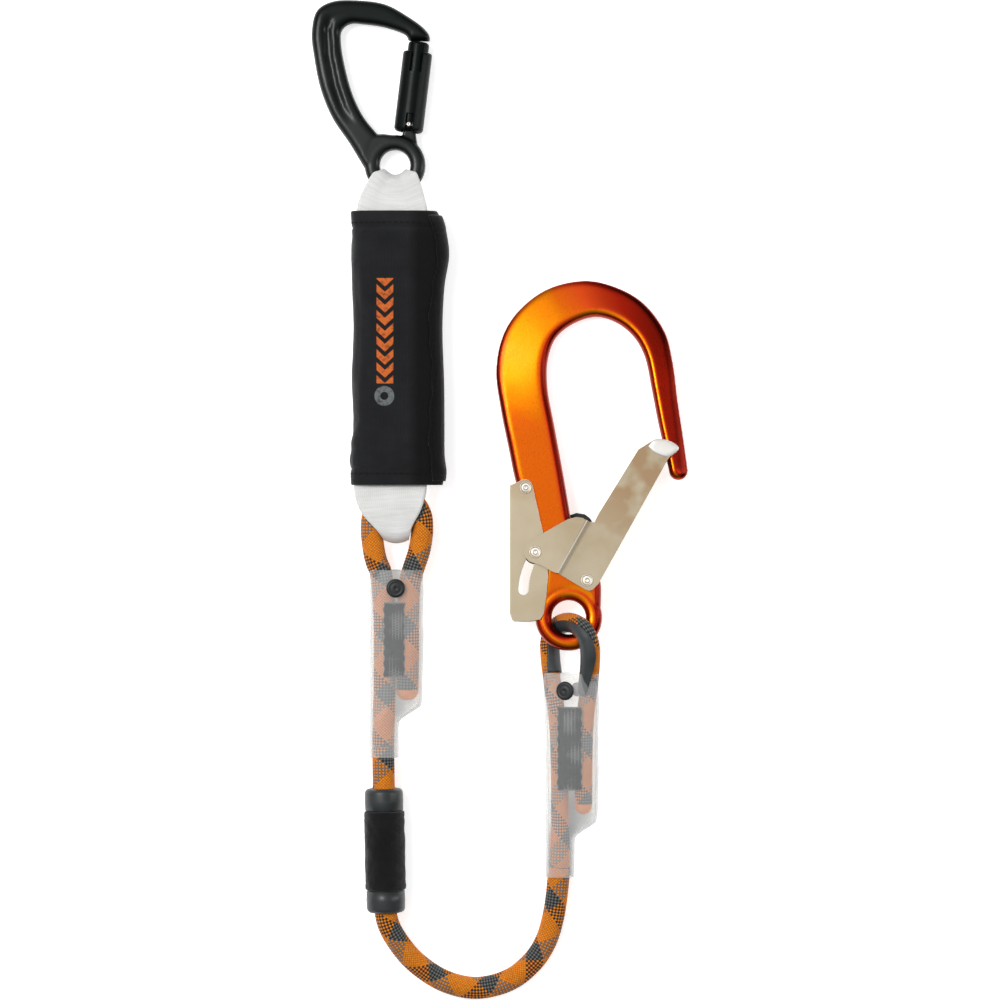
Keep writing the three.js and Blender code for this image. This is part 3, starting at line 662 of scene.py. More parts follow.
def rounded_height(half, reach, power=2.2):
    """Half thickness of a body whose edge is rounded over reach."""
    def height(points, inset):
        share = np.clip(inset / reach, 0, 1)
        return half * (1 - (1 - share) ** power) ** (1 / power)
    return height


def superellipse(turn, power):
    """Unit x and z round a superellipse, at the angles turn."""
    c, s = np.cos(turn), np.sin(turn)
    return np.sign(c) * np.abs(c) ** (2 / power), np.sign(s) * np.abs(s) ** (2 / power)


def ring_bar(name, inner, outer, half, power=2.6):
    """A ring about the Z axis with a rounded square bar."""
    x, z = superellipse(full_turn(28), power)
    radius = (inner + outer) / 2 + (outer - inner) / 2 * x
    turn = full_turn(96)[:, None]
    points = np.stack([np.cos(turn) * radius, np.sin(turn) * radius, half * z + 0 * turn], axis=2)
    return grid_object(name, points, close_rows=True)


def prism(name, outline, low, high):
    """A flat plate between two heights."""
    flat, faces = filled(np.array(outline, float))
    count = len(flat)
    rim = set()
    for face in faces:
        for a, b in zip(face, face[1:] + face[:1]):
            if (b, a) in rim:
                rim.remove((b, a))
            else:
                rim.add((a, b))
    points = np.vstack([np.column_stack([flat, np.full(count, float(z))]) for z in (high, low)])
    bottom = [[v + count for v in face[::-1]] for face in faces]
    walls = [[a, a + count, b + count, b] for a, b in sorted(rim)]
    return tidied(mesh_object(name, points, faces + bottom + walls, smooth=False), flatten=True)


# ---------- straps ----------

WEFT_PITCH = 1.25
WEBBING_THICKNESS = 2.3
INSIDE_COVER = (19.9, 11.7)  # heights of a loop's two layers inside the cover


def strap(name, middle, thickness, pitch=WEFT_PITCH, relief=0.14):
    """A woven strap round a middle surface, middle[along, across], with a raised row at each weft."""
    selvedge = 0.08
    along, across = np.gradient(middle, axis=0), np.gradient(middle, axis=1)
    normal = np.cross(across, along)
    normal /= np.linalg.norm(normal, axis=2)[:, :, None]
    run = np.concatenate([[0], np.cumsum(np.linalg.norm(np.diff(middle, axis=0), axis=2).mean(1))])
    spread = np.concatenate([[0], np.cumsum(np.linalg.norm(np.diff(middle, axis=1), axis=2).mean(0))])
    to_edge = (1 - np.abs(spread / spread[-1] * 2 - 1)) / selvedge
    edge = np.clip(to_edge, 0, 1)
    body = np.sqrt(1 - (1 - edge) ** 2) * 0.88 + 0.12 + 0.10 * np.exp(-((to_edge - 1.2) ** 2) * 4)
    rows = np.abs(np.sin(math.pi * run / pitch))[:, None] ** 0.6
    half = thickness / 2 * body - relief * (1 - rows) * np.clip(edge, 0.3, 1)
    top = middle + normal * half[:, :, None]
    bottom = middle - normal * half[:, :, None]
    u = np.concatenate([spread, spread[::-1], spread[:1]])
    uv = np.stack(np.meshgrid(u, run), axis=2)
    return grid_object(name, np.concatenate([top, bottom[:, ::-1]], axis=1), uv=uv)


def webbing_finish(name, bright, dark):
    warp_pitch, stagger = 1.1, 0.62
    finish = Finish(name, Roughness=0.85, Sheen_Weight=0.2, Specular_IOR_Level=0.3)
    u, v = finish.uv()
    column = finish.math("FLOOR", finish.math("DIVIDE", u, warp_pitch))
    warp = finish.threads(u, warp_pitch)
    weft = finish.threads(finish.plus(v, finish.times(column, stagger)), WEFT_PITCH)
    weave = finish.times(finish.math("POWER", warp, 0.5), finish.math("POWER", weft, 0.5))
    cloth = finish.mottled(bright, dark, 45, low=0.35)
    # Some rows are a little greyer, right across the strap.
    across = finish.node("ShaderNodeCombineXYZ")
    finish.put(across.inputs[0], finish.times(u, 0.035))
    finish.put(across.inputs[1], finish.times(v, 0.55))
    rows = finish.rise(finish.noise(1, where=across.outputs[0]), 0.36, 0.62)
    cloth = finish.mix(rows, finish.mix(0.16, cloth, linear(160, 160, 158)), cloth)
    # Painted shade in the hollows between the warp and weft threads.
    shade = finish.ramp(weave, (0.0, 0.78), (0.5, 1.0))
    finish.shade("Base Color", finish.mix(1.0, cloth, shade, "MULTIPLY"))
    finish.bump((weave, 0.5, 0.25), (finish.noise(1500, 2), 0.25, 0.08))
    return finish.material


def across_values(y, table):
    """Middle and half width of a strap at y, from rows of (y, left, right)."""
    ys, lefts, rights = np.array(sorted(table)).T
    left, right = np.interp(y, ys, lefts), np.interp(y, ys, rights)
    return (left + right) / 2, (right - left) / 2


def make_loop(name, outline, heights, wrap, stations, material, node):
    """A folded strap. heights gives (y, front, back) at each s across it, and wrap its fold's points."""
    lines = []
    for s in np.linspace(-1, 1, 45):
        front, back = [], []
        for y, front_height, back_height in heights(s):
            centre, half = across_values(y, outline)
            front.append((centre + s * half, y, front_height))
            back.append((centre + s * half, y, back_height))
        fold = [wrap(s, angle) for angle in np.radians(np.linspace(0, 180, 9))]
        curve = catmull(front + fold + back[::-1], 0.4)
        along = distances(curve)
        lines.append(sampled(curve, along, np.linspace(0, along[-1], stations)))
    piece = strap(name, np.stack(lines, axis=1), WEBBING_THICKNESS)
    show(piece, "absorber", "white_webbing", material, node)


def make_upper_loop(material):
    x0, y0, z0 = KARABINER_EYE
    outline = [
        (60, -25.4, 20.6), (88, -25.8, 20.8), (97, -24, 19.2), (103.4, -21.2, 17.0), (108, -18.4, 15.2),
    ]

    def pucker(s):
        return 0.7 * math.cos(3 * math.pi * s) * (abs(s) > 0.2)

    def heights(s):
        return [(60, *INSIDE_COVER), (84, *INSIDE_COVER), (92, 19.4, 7.2), (99, 18.2 + pucker(s) / 2, 2.8)]

    def wrap(s, angle):
        """Round the karabiner's ring, spread to both sides of its eye."""
        turn = math.radians(70) * s
        reach = KARABINER_BAR - (7.5 - 1.6 * s**6) * math.sin(angle)
        height = (7.5 + pucker(s) * 0.6) * math.cos(angle)
        return x0 + reach * math.sin(turn), y0 - reach * math.cos(turn), z0 + height

    make_loop("upper_loop_webbing", outline, heights, wrap, 340, material, "upper_webbing_loop")


def make_lower_loop(material):
    outline = [
        (-60, -24.6, 19.6), (-88, -27, 19.9), (-99.4, -27, 19.5), (-101.6, -25.6, 18.2), (-108, -20.4, 14.0),
        (-116, -14.2, 10.6), (-121, -10.6, 9.6),
    ]
    fold_radius, fold_half = 8.6, 8.0

    def heights(s):
        return [(-60, *INSIDE_COVER), (-84, *INSIDE_COVER), (-92, 21.4, 8), (-104, 22.4, 4.8)]

    def wrap(s, angle):
        """Round the rope, narrowed to the inside of its eye."""
        fold = -116.6 + 2.4 * s * s
        depth = math.sin(angle)
        centre, half = across_values(fold - 3 * depth, outline)
        half = half * (1 - depth) + fold_half * depth
        centre = centre * (1 - depth) + 0.2 * depth
        height = (fold_radius - 0.96 * s * s) * math.cos(angle)
        return centre + s * half, fold - fold_radius * depth, ROPE_LEVEL + height

    make_loop("lower_loop_webbing", outline, heights, wrap, 400, material, "lower_webbing_loop")


def make_tear_pack(material):
    """One long strap folded back and forth inside the cover."""
    reach, step, layers = 53.0, 4.0, 6
    path = []
    for i in range(layers):
        z = 6.0 + step * i
        way = 1 if i % 2 == 0 else -1
        path += [(-way * reach, z), (0, z), (way * reach, z)]
        if i < layers - 1:
            path.append((way * (reach + step / 2), z + step / 2))
    line = evenly(catmull(path, 1.0), 0.8)
    width = np.linspace(-25, 21, 13)
    surface = np.stack([np.column_stack([np.full(len(line), x), line]) for x in width], axis=1)
    piece = strap("tear_webbing", surface, 2.8, pitch=2.4, relief=0.2)
    show(piece, "absorber", "tear_webbing", material, "tear_webbing_pack")


# ---------- stitching ----------


def thread_finish(name, colour, light, sheen=0.3):
    finish = Finish(name, Roughness=0.75, Sheen_Weight=sheen, Specular_IOR_Level=0.2 + sheen)
    twist = finish.node("ShaderNodeTexWave", wave_type="BANDS", bands_direction="DIAGONAL")
    finish.link(finish.place(), twist.inputs["Vector"])
    twist.inputs["Scale"].default_value = 900
    twist.inputs["Distortion"].default_value = 1.5
    finish.shade("Base Color", finish.mottled(colour, light, 260, 3, 0.35, 0.65))
    finish.bump((twist.outputs["Fac"], 0.5, 0.1))
    return finish.material


def stitched_block(name, left, right, start, end, middle, base, rows=7):
    """Dense lengthwise rows of stitches on a pad. middle(y) gives its height, slope and roll middle."""
    pitch, crown, relief = 1.7, 1.0, 0.55
    y = np.linspace(start, end, int(abs(end - start) / 0.4))
    yy, ss = np.meshgrid(y, np.linspace(-1, 1, 72), indexing="ij")
    x = (left + right) / 2 + ss * (right - left) / 2
    x = x + 0.35 * np.sin(yy * 0.9) * (np.abs(ss) > 0.9)
    height, slope, roll_middle = np.array([middle(v) for v in y]).T[:, :, None]
    base_z = height + slope * (x - roll_middle) + base
    row = (ss + 1) / 2 * rows
    cell = row % 1 - 0.5
    stitch = np.abs(np.sin(math.pi * (yy / pitch + np.floor(row) * 0.5)))
    bump = np.sqrt(np.clip(1 - (cell * 2) ** 2, 0, 1)) * stitch**0.5
    ends = np.clip(np.minimum(yy.max() - yy, yy - yy.min()) / 1.2, 0, 1) ** 0.5
    edges = np.clip((1 - np.abs(ss)) / 0.12, 0, 1) ** 0.5
    top = np.stack([x, yy, base_z + 0.25 + (crown + relief * bump) * ends * edges], axis=2)
    bottom = np.stack([x, yy, base_z], axis=2)
    return grid_object(name, np.concatenate([top, bottom[:, ::-1]], axis=1))


# ---------- energy absorber's cover ----------


def soft_noise(points, scale, seed=0.0):
    """Smooth repeatable waves, one value for each point."""
    waves = [
        ((1.0, 0.7, 0.4), 1.0), ((-0.6, 1.3, 0.9), 0.7), ((1.7, -0.8, 1.1), 0.5), ((0.5, 2.3, -1.6), 0.35),
        ((2.9, 1.9, 0.8), 0.2),
    ]
    p = np.asarray(points) * scale
    return sum(size * np.sin(p @ np.array(wave) + 1.7 * k + seed) for k, (wave, size) in enumerate(waves)) / 2


def cover_section(y):
    """Left, right, bottom and top of the pouch at y."""
    top_end = np.clip((COVER["top"] - y) / 16, 0, 1)
    bottom_end = np.clip((y - COVER["bottom"]) / 16, 0, 1)
    fill = np.sin(np.minimum(top_end, bottom_end) * math.pi / 2)
    shoulder = 3.1 * np.exp(-(((y - 62) / 15) ** 2)) + 1.4 * np.exp(-(((y + 80) / 7) ** 2))
    waist = 1.3 * np.exp(-(((y - 12) / 26) ** 2))
    corner = 3.2 * np.clip((y - 78) / 10.4, 0, 1) ** 2
    left = COVER["left"] + 0.35 * np.sin(y * 0.11)
    right = COVER["right"] + shoulder - waist - corner - 0.4
    return left, right, 4.2 * (1 - fill) + 0.2, 31.6 - 4.4 * (1 - fill)


def cover_point(y, turn, lift=0.0):
    """A point of the pouch's skin: turn 0 is its right side and a quarter turn its top."""
    left, right, low, high = cover_section(y)
    x, z = superellipse(turn, 3.6)
    across = (left + right) / 2 + x * ((right - left) / 2 + lift)
    return np.array([across, y, (low + high) / 2 + z * ((high - low) / 2 + lift)])


def cover_finish():
    finish = Finish(
        "black_fabric", Roughness=0.9, Sheen_Weight=0.25, Sheen_Roughness=0.4, Specular_IOR_Level=0.2
    )
    x, y, z = finish.xyz(finish.place())
    weave = finish.times(finish.threads(finish.plus(x, z), 0.9 * MM), finish.threads(y, 0.75 * MM))
    cloth = finish.mottled(linear(28, 29, 31), linear(40, 41, 43), 55)
    # Painted shade in the hollows between threads.
    cloth = finish.mix(finish.rise(weave, 0.0, 0.6), linear(20, 20, 22), cloth)
    # Painted shade: the pouch is darker down its right side, where it turns away from the light.
    side = finish.ramp(finish.times(x, 20), (0.16, 0.0), (0.30, 0.95))
    cloth = finish.mix(side, cloth, linear(11, 11, 12))
    # A printed band of chevrons, and a plain ring under it. Both are a little worn.
    on_top = finish.math("GREATER_THAN", z, 22 * MM)
    print_here = finish.times(on_top, finish.ramp(finish.noise(420), (0.30, 0.35), (0.5, 1.0)))
    u = finish.math("ABSOLUTE", finish.math("DIVIDE", finish.minus(x, -6.6 * MM), 5.4 * MM))
    v = finish.math("ABSOLUTE", finish.minus(y, 11 * MM))
    within = finish.times(finish.math("LESS_THAN", u, 1.0), finish.math("LESS_THAN", v, 34 * MM))
    slant = finish.minus(y, finish.times(u, 5 * MM))
    bars = finish.math("LESS_THAN", finish.math("PINGPONG", slant, 4.2 * MM), 2.5 * MM)
    cloth = finish.mix(finish.times(finish.times(within, bars), print_here), cloth, linear(214, 108, 48))
    ring_x = finish.math("POWER", finish.minus(x, -7.0 * MM), 2)
    ring_y = finish.math("POWER", finish.minus(y, -31.0 * MM), 2)
    radius = finish.math("SQRT", finish.plus(ring_x, ring_y))
    ring = finish.times(
        finish.math("LESS_THAN", radius, 6.4 * MM), finish.math("GREATER_THAN", radius, 2.6 * MM)
    )
    cloth = finish.mix(finish.times(ring, print_here), cloth, linear(112, 116, 118))
    finish.shade("Base Color", cloth)
    finish.bump((weave, 0.55, 0.3), (finish.noise(700, 3), 0.25, 0.15), (finish.noise(30, 3), 0.25, 1.5))
    return finish.material


def settled(skin):
    """How far each point of the pouch's skin moves when its cloth, cut a little loose, is pressed out.

    The hems and the side under the flap are held, and no point moves further than most.
    """
    most = 1.3
    form = grid_object("pouch_form", skin[::3, ::2])
    voxels = form.modifiers.new("voxels", "REMESH")
    voxels.mode = "VOXEL"
    voxels.voxel_size = 3 * MM
    finish_mesh(form)
    rest = np.array([vertex.co[:] for vertex in form.data.vertices]) / MM
    to_hem = np.minimum(COVER["top"] - rest[:, 1], rest[:, 1] - COVER["bottom"])
    to_flap = COVER["right"] - 9 - rest[:, 0]
    held = np.clip(1.6 - np.minimum(to_hem, to_flap + 7) / 8, 0, 1)
    pins = form.vertex_groups.new(name="held")
    for index, weight in enumerate(held):
        pins.add([index], float(weight), "REPLACE")
    cloth = form.modifiers.new("cloth", "CLOTH").settings
    cloth.use_pressure = True
    cloth.uniform_pressure_force = 4
    cloth.shrink_min = -0.02
    cloth.effector_weights.gravity = 0
    cloth.vertex_group_mass = "held"
    for step_number in range(1, 21):
        bpy.context.scene.frame_set(step_number)
    shape = form.evaluated_get(bpy.context.evaluated_depsgraph_get()).data
    moved = np.array([vertex.co[:] for vertex in shape.vertices]) / MM - rest
    bpy.context.scene.frame_set(1)
    bpy.data.objects.remove(form)
    size = np.linalg.norm(moved, axis=1)[:, None] + 1e-9
    moved *= most * np.tanh(size / most) / size
    tree = mathutils.kdtree.KDTree(len(rest))
    for index, point in enumerate(rest):
        tree.insert(point, index)
    tree.balance()
    shift = np.zeros_like(skin)
    for place_in_grid in np.ndindex(skin.shape[:2]):
        near = tree.find_n(skin[place_in_grid], 8)
        weights = np.array([1 / (distance + 1.0) ** 2 for _, _, distance in near])
        nearby = moved[[index for _, index, _ in near]]
        shift[place_in_grid] = (nearby * weights[:, None]).sum(0) / weights.sum()
    return shift


def make_cover(material):
    ys = np.linspace(COVER["top"], COVER["bottom"], 127)
    skin = np.array([[cover_point(y, t) for t in full_turn(120)] for y in ys])
    away = skin - skin.mean(axis=1, keepdims=True)
    away[..., 1] = 0
    away /= np.linalg.norm(away, axis=2)[:, :, None]
    ends = np.clip(np.minimum(COVER["top"] - ys, ys - COVER["bottom"]) / 9, 0, 1)[:, None]
    wrinkle = 0.45 * soft_noise(skin, 0.11) + 0.22 * soft_noise(skin, 0.27, 2.0)
    bottom_zone = np.exp(-(((skin[..., 1] + 66) / 12) ** 2))
    creases = 0.8 * np.sin(skin[..., 0] * 0.16 + skin[..., 1] * 0.52) * bottom_zone
    hem = sum(0.7 * np.exp(-(((skin[..., 1] - y) / 1.1) ** 2)) for y in (78.6, -78.2))
    skin = skin + settled(skin) + away * ((wrinkle * 0.6 + creases * 0.5) * ends - hem)[..., None]
    # It lies flat on the floor.
    skin[..., 2] = np.maximum(skin[..., 2], 0.1)
    # The hems turn in at both mouths.
    lips = []
    for way, ring, end in ((1, skin[0], COVER["top"]), (-1, skin[-1], COVER["bottom"])):
        middle = ring.mean(0)
        lip = []
        for share, back in ((0.35, -0.7), (0.8, -0.5), (1, 1.5), (1, 6), (1, 12)):
            narrower = middle + (ring - middle) * np.array([1 - share * 0.05, 1, 1 - share * 0.13])
            narrower[:, 1] = end - way * back
            lip.append(narrower)
        lips.append(np.array(lip))
    piece = grid_object("absorber_pouch", np.concatenate([lips[0][::-1], skin, lips[1]]))
    show(piece, "absorber", "black_fabric", material, "absorber_cover")


def flap_edge(y, degrees):
    """Where the flap's edge lies round the pouch at y, an uneven line near the given angle."""
    uneven = 0.05 * np.sin(y * 0.09) + 0.03 * np.sin(y * 0.31 + 1)
    return math.radians(degrees) + uneven + 0.10 * np.clip((10 - y) / 90, 0, 1)


def make_flap(material):
    """The overlapping edge that closes the pouch, from its top round its right side."""
    rows = []
    for y in np.linspace(COVER["top"] - 2.5, COVER["bottom"] + 2.0, 150):
        turns = np.linspace(flap_edge(y, 52), math.radians(-22), 30)
        rows.append([cover_point(y, t, lift=0.75) for t in turns])
    surface = np.array(rows)
    surface[..., 2] += 0.18 * soft_noise(surface, 0.2, 4.0)
    piece = strap("cover_flap_cloth", surface, 1.3, pitch=1.0, relief=0.05)
    show(piece, "absorber", "black_fabric", material, "absorber_cover_flap")


def stitch_row(points, ups):
    """Short thread capsules laid along a line of points. Returns their vertices and faces."""
    length, gap, radius, sides = 2.6, 1.2, 0.32, 6
    profile = [(-0.5, 0.15), (-0.42, 0.75), (-0.2, 1.0), (0.2, 1.0), (0.42, 0.75), (0.5, 0.15)]
    line, ups = np.array(points, float), np.array(ups, float)
    along = distances(line)
    vertices, faces = [], []
    for start in np.arange(gap, along[-1] - length, length + gap):
        near, far = sampled(line, along, [start, start + length])
        up = sampled(ups, along, [start + length / 2])[0]
        axis = far - near
        side = np.cross(up, axis)
        side /= np.linalg.norm(side)
        up = np.cross(axis, side) / np.linalg.norm(axis)
        base = len(vertices)
        for t, r in profile:
            middle = (near + far) / 2 + axis * t + up * (0.28 - 1.1 * t * t)
            for angle in full_turn(sides):
                vertices.append(middle + radius * r * (math.cos(angle) * side + math.sin(angle) * up))
        last = base + (len(profile) - 1) * sides
        for first in range(base, last, sides):
            for j in range(sides):
                a, b = first + j, first + (j + 1) % sides
                faces.append([a, b, b + sides, a + sides])
        faces.append([base + j for j in range(sides - 1, -1, -1)])
        faces.append([last + j for j in range(sides)])
    return vertices, faces


def make_cover_stitching(material):
    """A row across each hem, and one down the flap's edge."""
    rows = []
    for y in (81.3, -81.0):
        turns = np.radians(np.linspace(170, 62, 90))
        rows.append(([cover_point(y, t, lift=0.1) for t in turns], [(0, 0, 1)] * 90))
    ys = np.linspace(COVER["top"] - 6, COVER["bottom"] + 6, 160)
    rows.append(([cover_point(y, flap_edge(y, 47), lift=1.45) for y in ys], [(0.4, 0, 0.9)] * 160))
    vertices, faces = [], []
    for points, ups in rows:
        more, joined = stitch_row(points, ups)
        faces += [[v + len(vertices) for v in face] for face in joined]
        vertices += more
    show(mesh_object("cover_seam_stitching", vertices, faces), "absorber", "thread", material)


def flat_middle(height):
    return lambda y: (height, 0.0, 0.0)


def make_hidden_stitching(material):
    for name, y, reach, z, node in (
        ("loop_seam_upper", 75, 7, 13.3, "upper_loop_stitching"),
        ("loop_seam_lower", -75, 7, 13.3, "lower_loop_stitching"),
        ("pack_seam_upper", 45, 4, 27.3, "tear_pack_upper_stitching"),
        ("pack_seam_lower", -45, 4, 27.3, "tear_pack_lower_stitching"),
    ):
        piece = stitched_block(name, -19, 14, y + reach, y - reach, flat_middle(z), 0.0, rows=12)
        show(piece, "absorber", "thread", material, node)


# ---------- splice covers and what is on them ----------

SPLICE_HALF = 9.6

UPPER_PLAN = [
    (-143.7, -17.2, 17.6), (-165, -17.2, 17.6), (-187, -17.2, 17.6), (-209, -17.2, 17.4), (-227, -17.2, 17),
    (-232, -17.2, 16.2), (-236.5, -17.2, 9.5), (-241, -17.2, 2.6), (-246, -17.2, 1.6), (-265.2, -17.2, 1.4),
]

LOWER_PLAN = [
    (-210.6, 95.8, 131.4), (-222, 96, 131.4), (-234, 96.4, 131.4), (-246, 96.8, 131.4), (-262, 97.2, 131.4),
    (-284, 97.4, 131.4), (-303.5, 97.4, 131), (-308, 97.4, 130), (-312.5, 97.4, 122.5), (-317, 97.4, 116.6),
    (-322, 97.4, 115.9), (-343.2, 97.4, 115.7),
]


upper_middle = flat_middle(ROPE_LEVEL)


def lower_middle(y):
    """The lower cover climbs and rolls over towards the hook's eye."""
    low, high = LOWER_PLAN[-1][0], LOWER_PLAN[0][0]
    along = (y - low) / (high - low)
    return 9.8 + 8.8 * along, 0.5 * max(0.0, along - 0.2) ** 1.7 / 0.8**1.7, 113.4


def sheath_rings(plan, middle, inset):
    """Rings round a splice cover, whose plan is rows of (y, left, right)."""
    x, z = superellipse(full_turn(72), 2.5)
    rings = []
    for y in np.linspace(plan[0][0], plan[-1][0], 64):
        centre, half = across_values(y, plan)
        height, slope, roll_middle = middle(y)
        across = centre + x * (half - inset)
        thickness = SPLICE_HALF - inset + 0.0875 * math.sin(y * 0.23)
        up = height + slope * (across - roll_middle) + z * thickness
        row = np.full(len(x), y)
        ripple = 0.22 * soft_noise(np.column_stack([across, row, up]), 0.21)
        rings.append(np.column_stack([across + x * ripple, row, up + z * ripple]))
    return np.array(rings)


def sleeve_finish():
    """Frosted vinyl: what is behind it shows through a milky skin, thickest to the eye at its sides."""
    finish = Finish("frosted_vinyl", Roughness=0.36, Emission_Color=(0.94, 0.97, 1, 1))
    weight = finish.node("ShaderNodeLayerWeight")
    weight.inputs["Blend"].default_value = 0.5
    side = weight.outputs["Facing"]
    cloud = finish.mix(finish.noise(35, 3), linear(208, 209, 207), linear(220, 221, 219))
    # Greyer at its sides: partly the thicker look of the vinyl there, partly painted shade.
    skin = finish.mix(finish.rise(side, 0.1, 0.7), cloud, linear(168, 170, 168))
    # Painted shade underneath: towards the floor the vinyl is darker grey and more opaque.
    under = finish.ramp(finish.times(finish.xyz(finish.place())[2], 20), (0.06, 1.0), (0.16, 0.0))
    finish.shade("Base Color", finish.mix(under, skin, linear(120, 127, 130)))
    finish.bump((finish.noise(60, 3), 0.25, 0.8))
    clear = finish.node("ShaderNodeBsdfTransparent")
    clear.inputs["Color"].default_value = (0.985, 0.982, 0.975, 1)
    veil = finish.ramp(side, (0.0, 0.16), (0.3, 0.21), (0.65, 0.44), (1.0, 0.68))
    veil = finish.math("MAXIMUM", veil, finish.times(under, 0.85))
    # Painted light: the vinyl glows faintly, more on its upper part than underneath.
    finish.shade("Emission Strength", finish.ramp(under, (0.0, 0.24), (1.0, 0.06)))
    blend = finish.node("ShaderNodeMixShader")
    finish.link(veil, blend.inputs["Fac"])
    finish.link(clear.outputs[0], blend.inputs[1])
    finish.link(finish.shader.outputs["BSDF"], blend.inputs[2])
    finish.link(blend.outputs[0], finish.output.inputs["Surface"])
    return finish.material


def make_sleeve(name, plan, middle, material, node):
    wall, lip = 1.1, 0.15
    outer = sheath_rings(plan, middle, 0.0)
    outer[0, :, 1] += lip
    inner = sheath_rings(plan, middle, wall)
    piece = grid_object(name, np.concatenate([outer, inner[::-1]]), close_rows=True)
    show(piece, "rope", "clear_sleeve", material, node)


def plastic_finish(name, colour, light, roughness=0.45, grain=900, strength=0.15):
    finish = Finish(name, Specular_IOR_Level=0.4)
    finish.shade("Base Color", finish.mottled(colour, light, 70, low=0.35))
    finish.rough(finish.noise(160), roughness - 0.08, roughness + 0.1)
    finish.bump((finish.noise(grain, 2), strength, 0.08))
    return finish.material


def make_button(name, x, y, middle, node, stud_node, material):
    height, slope, roll_middle = middle(y)
    roll = math.atan(slope)
    half = SPLICE_HALF * math.cos(roll) + (1.5 if slope else 0.3)
    cap = lathe(name, [
        (0.0, half - 0.6), (5.2, half - 0.6), (5.9, half - 0.2), (6.05, half + 0.5), (5.9, half + 1.1),
        (5.4, half + 1.55), (4.6, half + 1.8), (4.1, half + 1.75), (3.8, half + 1.6), (3.4, half + 1.62),
        (2.0, half + 1.85), (1.3, half + 1.9), (1.05, half + 1.7), (0.0, half + 1.62),
    ], 56)
    back = lathe(name + "_back", [
        (0.0, -half + 0.2), (3.6, -half + 0.1), (4.5, -half - 0.3), (4.6, -half - 0.8), (4.2, -half - 1.15),
        (1.6, -half - 1.2), (1.3, -half - 0.9), (0.0, -half - 0.85),
    ][::-1], 48)
    middle_height = height + slope * (x - roll_middle)
    for piece, cad in ((cap, node), (back, stud_node)):
        upright(piece)
        place(piece, (x, y, middle_height), (0, -roll, 0))
        show(piece, "rope", "black_plastic", material, cad)


def make_thimble(material):
    """A channel round the inside of the lower eye, open towards the rope's back."""
    first, last = -72, 94  # degrees round the rope, where the channel's lips are
    path = smooth_curve(LOWER_EYE_ROUTE[7:21], 1.2)
    tangent = directions(path)
    inward = np.array([112.9, -203.5, 0.0]) - path
    inward[:, 2] = 2.0
    inward -= tangent * (inward * tangent).sum(1)[:, None]
    inward /= np.linalg.norm(inward, axis=1)[:, None]
    up = np.cross(inward, tangent)
    spread = np.linspace(first, last, 27)
    lip = sum(0.35 * np.exp(-(((spread - end) / 7) ** 2)) for end in (first, last))
    angle = np.radians(np.concatenate([spread, spread[::-1]]))
    radius = np.concatenate([7.15 + lip, np.full(len(spread), 5.95)])
    piece = grid_object("eye_thimble", swept(path, inward, up, angle, radius))
    show(piece, "rope", "grey_plastic", material, "rope_thimble")


def make_tail_end(material):
    """The rope's cut tail, heat sealed, at the end of each sewn splice."""
    for name, route, radius in (
        ("upper_rope_tail", UPPER_EYE_ROUTE, ROPE_RADIUS),
        ("lower_rope_tail", LOWER_EYE_ROUTE, EYE_ROPE_RADIUS),
    ):
        end = np.array(route[-1])
        dome = [
            (0, -0.5), (1.02, -0.5), (1.03, 0.6), (0.98, 2.2), (0.84, 3.9), (0.6, 5.3), (0.3, 6.1), (0, 6.3),
        ]
        piece = lathe(name, [(radius * share, height) for share, height in dome], 40)
        heading = end - np.array(route[-2])
        lean = math.atan2(-heading[0], heading[1])
        place(piece, end, (0, 0, lean))
        show(piece, "rope", "rope_sheath", material)


# ---------- hand grip ----------


def make_grip(rubber, fabric):
    length, collar = 80.6, 14.5
    bore, core, rim, rounding = 7.7, 11.4, 12.4, 3
    corner = [(rounding * math.sin(a), rounding * math.cos(a)) for a in np.radians([25, 45, 65, 90])]
    profile = [(bore, -length), (bore + 1.4, -length)]
    profile += [(rim - rounding + sine, rounding - length - cosine) for sine, cosine in corner]
    profile += [(12.6, -length + 8), (rim, -length + collar - 0.5), (core, -length + collar), (core, -collar)]
    profile += [(rim, -collar + 0.5), (12.5, -8), (rim, -rounding)]
    profile += [(rim - rounding + cosine, sine - rounding) for sine, cosine in corner]
    profile += [(bore + 1.4, 0), (bore + 0.6, 0), (bore, -0.8)]
    tube = lathe("grip_rubber", profile, 72, hollow=True)
    place(tube, GRIP_TOP, (0, 0, GRIP_LEAN))
    show(tube, "grip", "grey_rubber", rubber, "grip_tube")

    ys = np.linspace(-collar - 0.3, -length + collar + 0.3, 90)
    yy, tt = np.meshgrid(ys, full_turn(120), indexing="ij")

    def round_grip(reach):
        return np.stack([np.sin(tt) * reach, yy, np.cos(tt) * reach], axis=2)

    spot = round_grip(13)
    ends = np.clip(np.minimum(ys.max() - yy, yy - ys.min()) / 1.4, 0, 1)
    radius = 12.45 + 0.7 * np.sqrt(1 - (1 - ends) ** 2)
    radius += 0.22 * soft_noise(spot, 0.35) * ends + 0.12 * soft_noise(spot, 0.8, 3.0) * ends
    radius += 0.35 / (1 + np.exp(-(tt - 5.2) * 18)) - 0.35 * (tt / (2 * math.pi)) ** 6
    radius -= sum(0.25 * np.exp(-(((yy - seam) / 0.5) ** 2)) for seam in (ys.max() - 4.2, ys.min() + 4.2))
    points = np.concatenate([round_grip(radius), round_grip(11.6)[::-1]])
    wrap = grid_object("grip_cloth", points, close_rows=True)
    place(wrap, GRIP_TOP, (0, 0, GRIP_LEAN))
    show(wrap, "grip", "black_fabric", fabric, "grip_wrap")


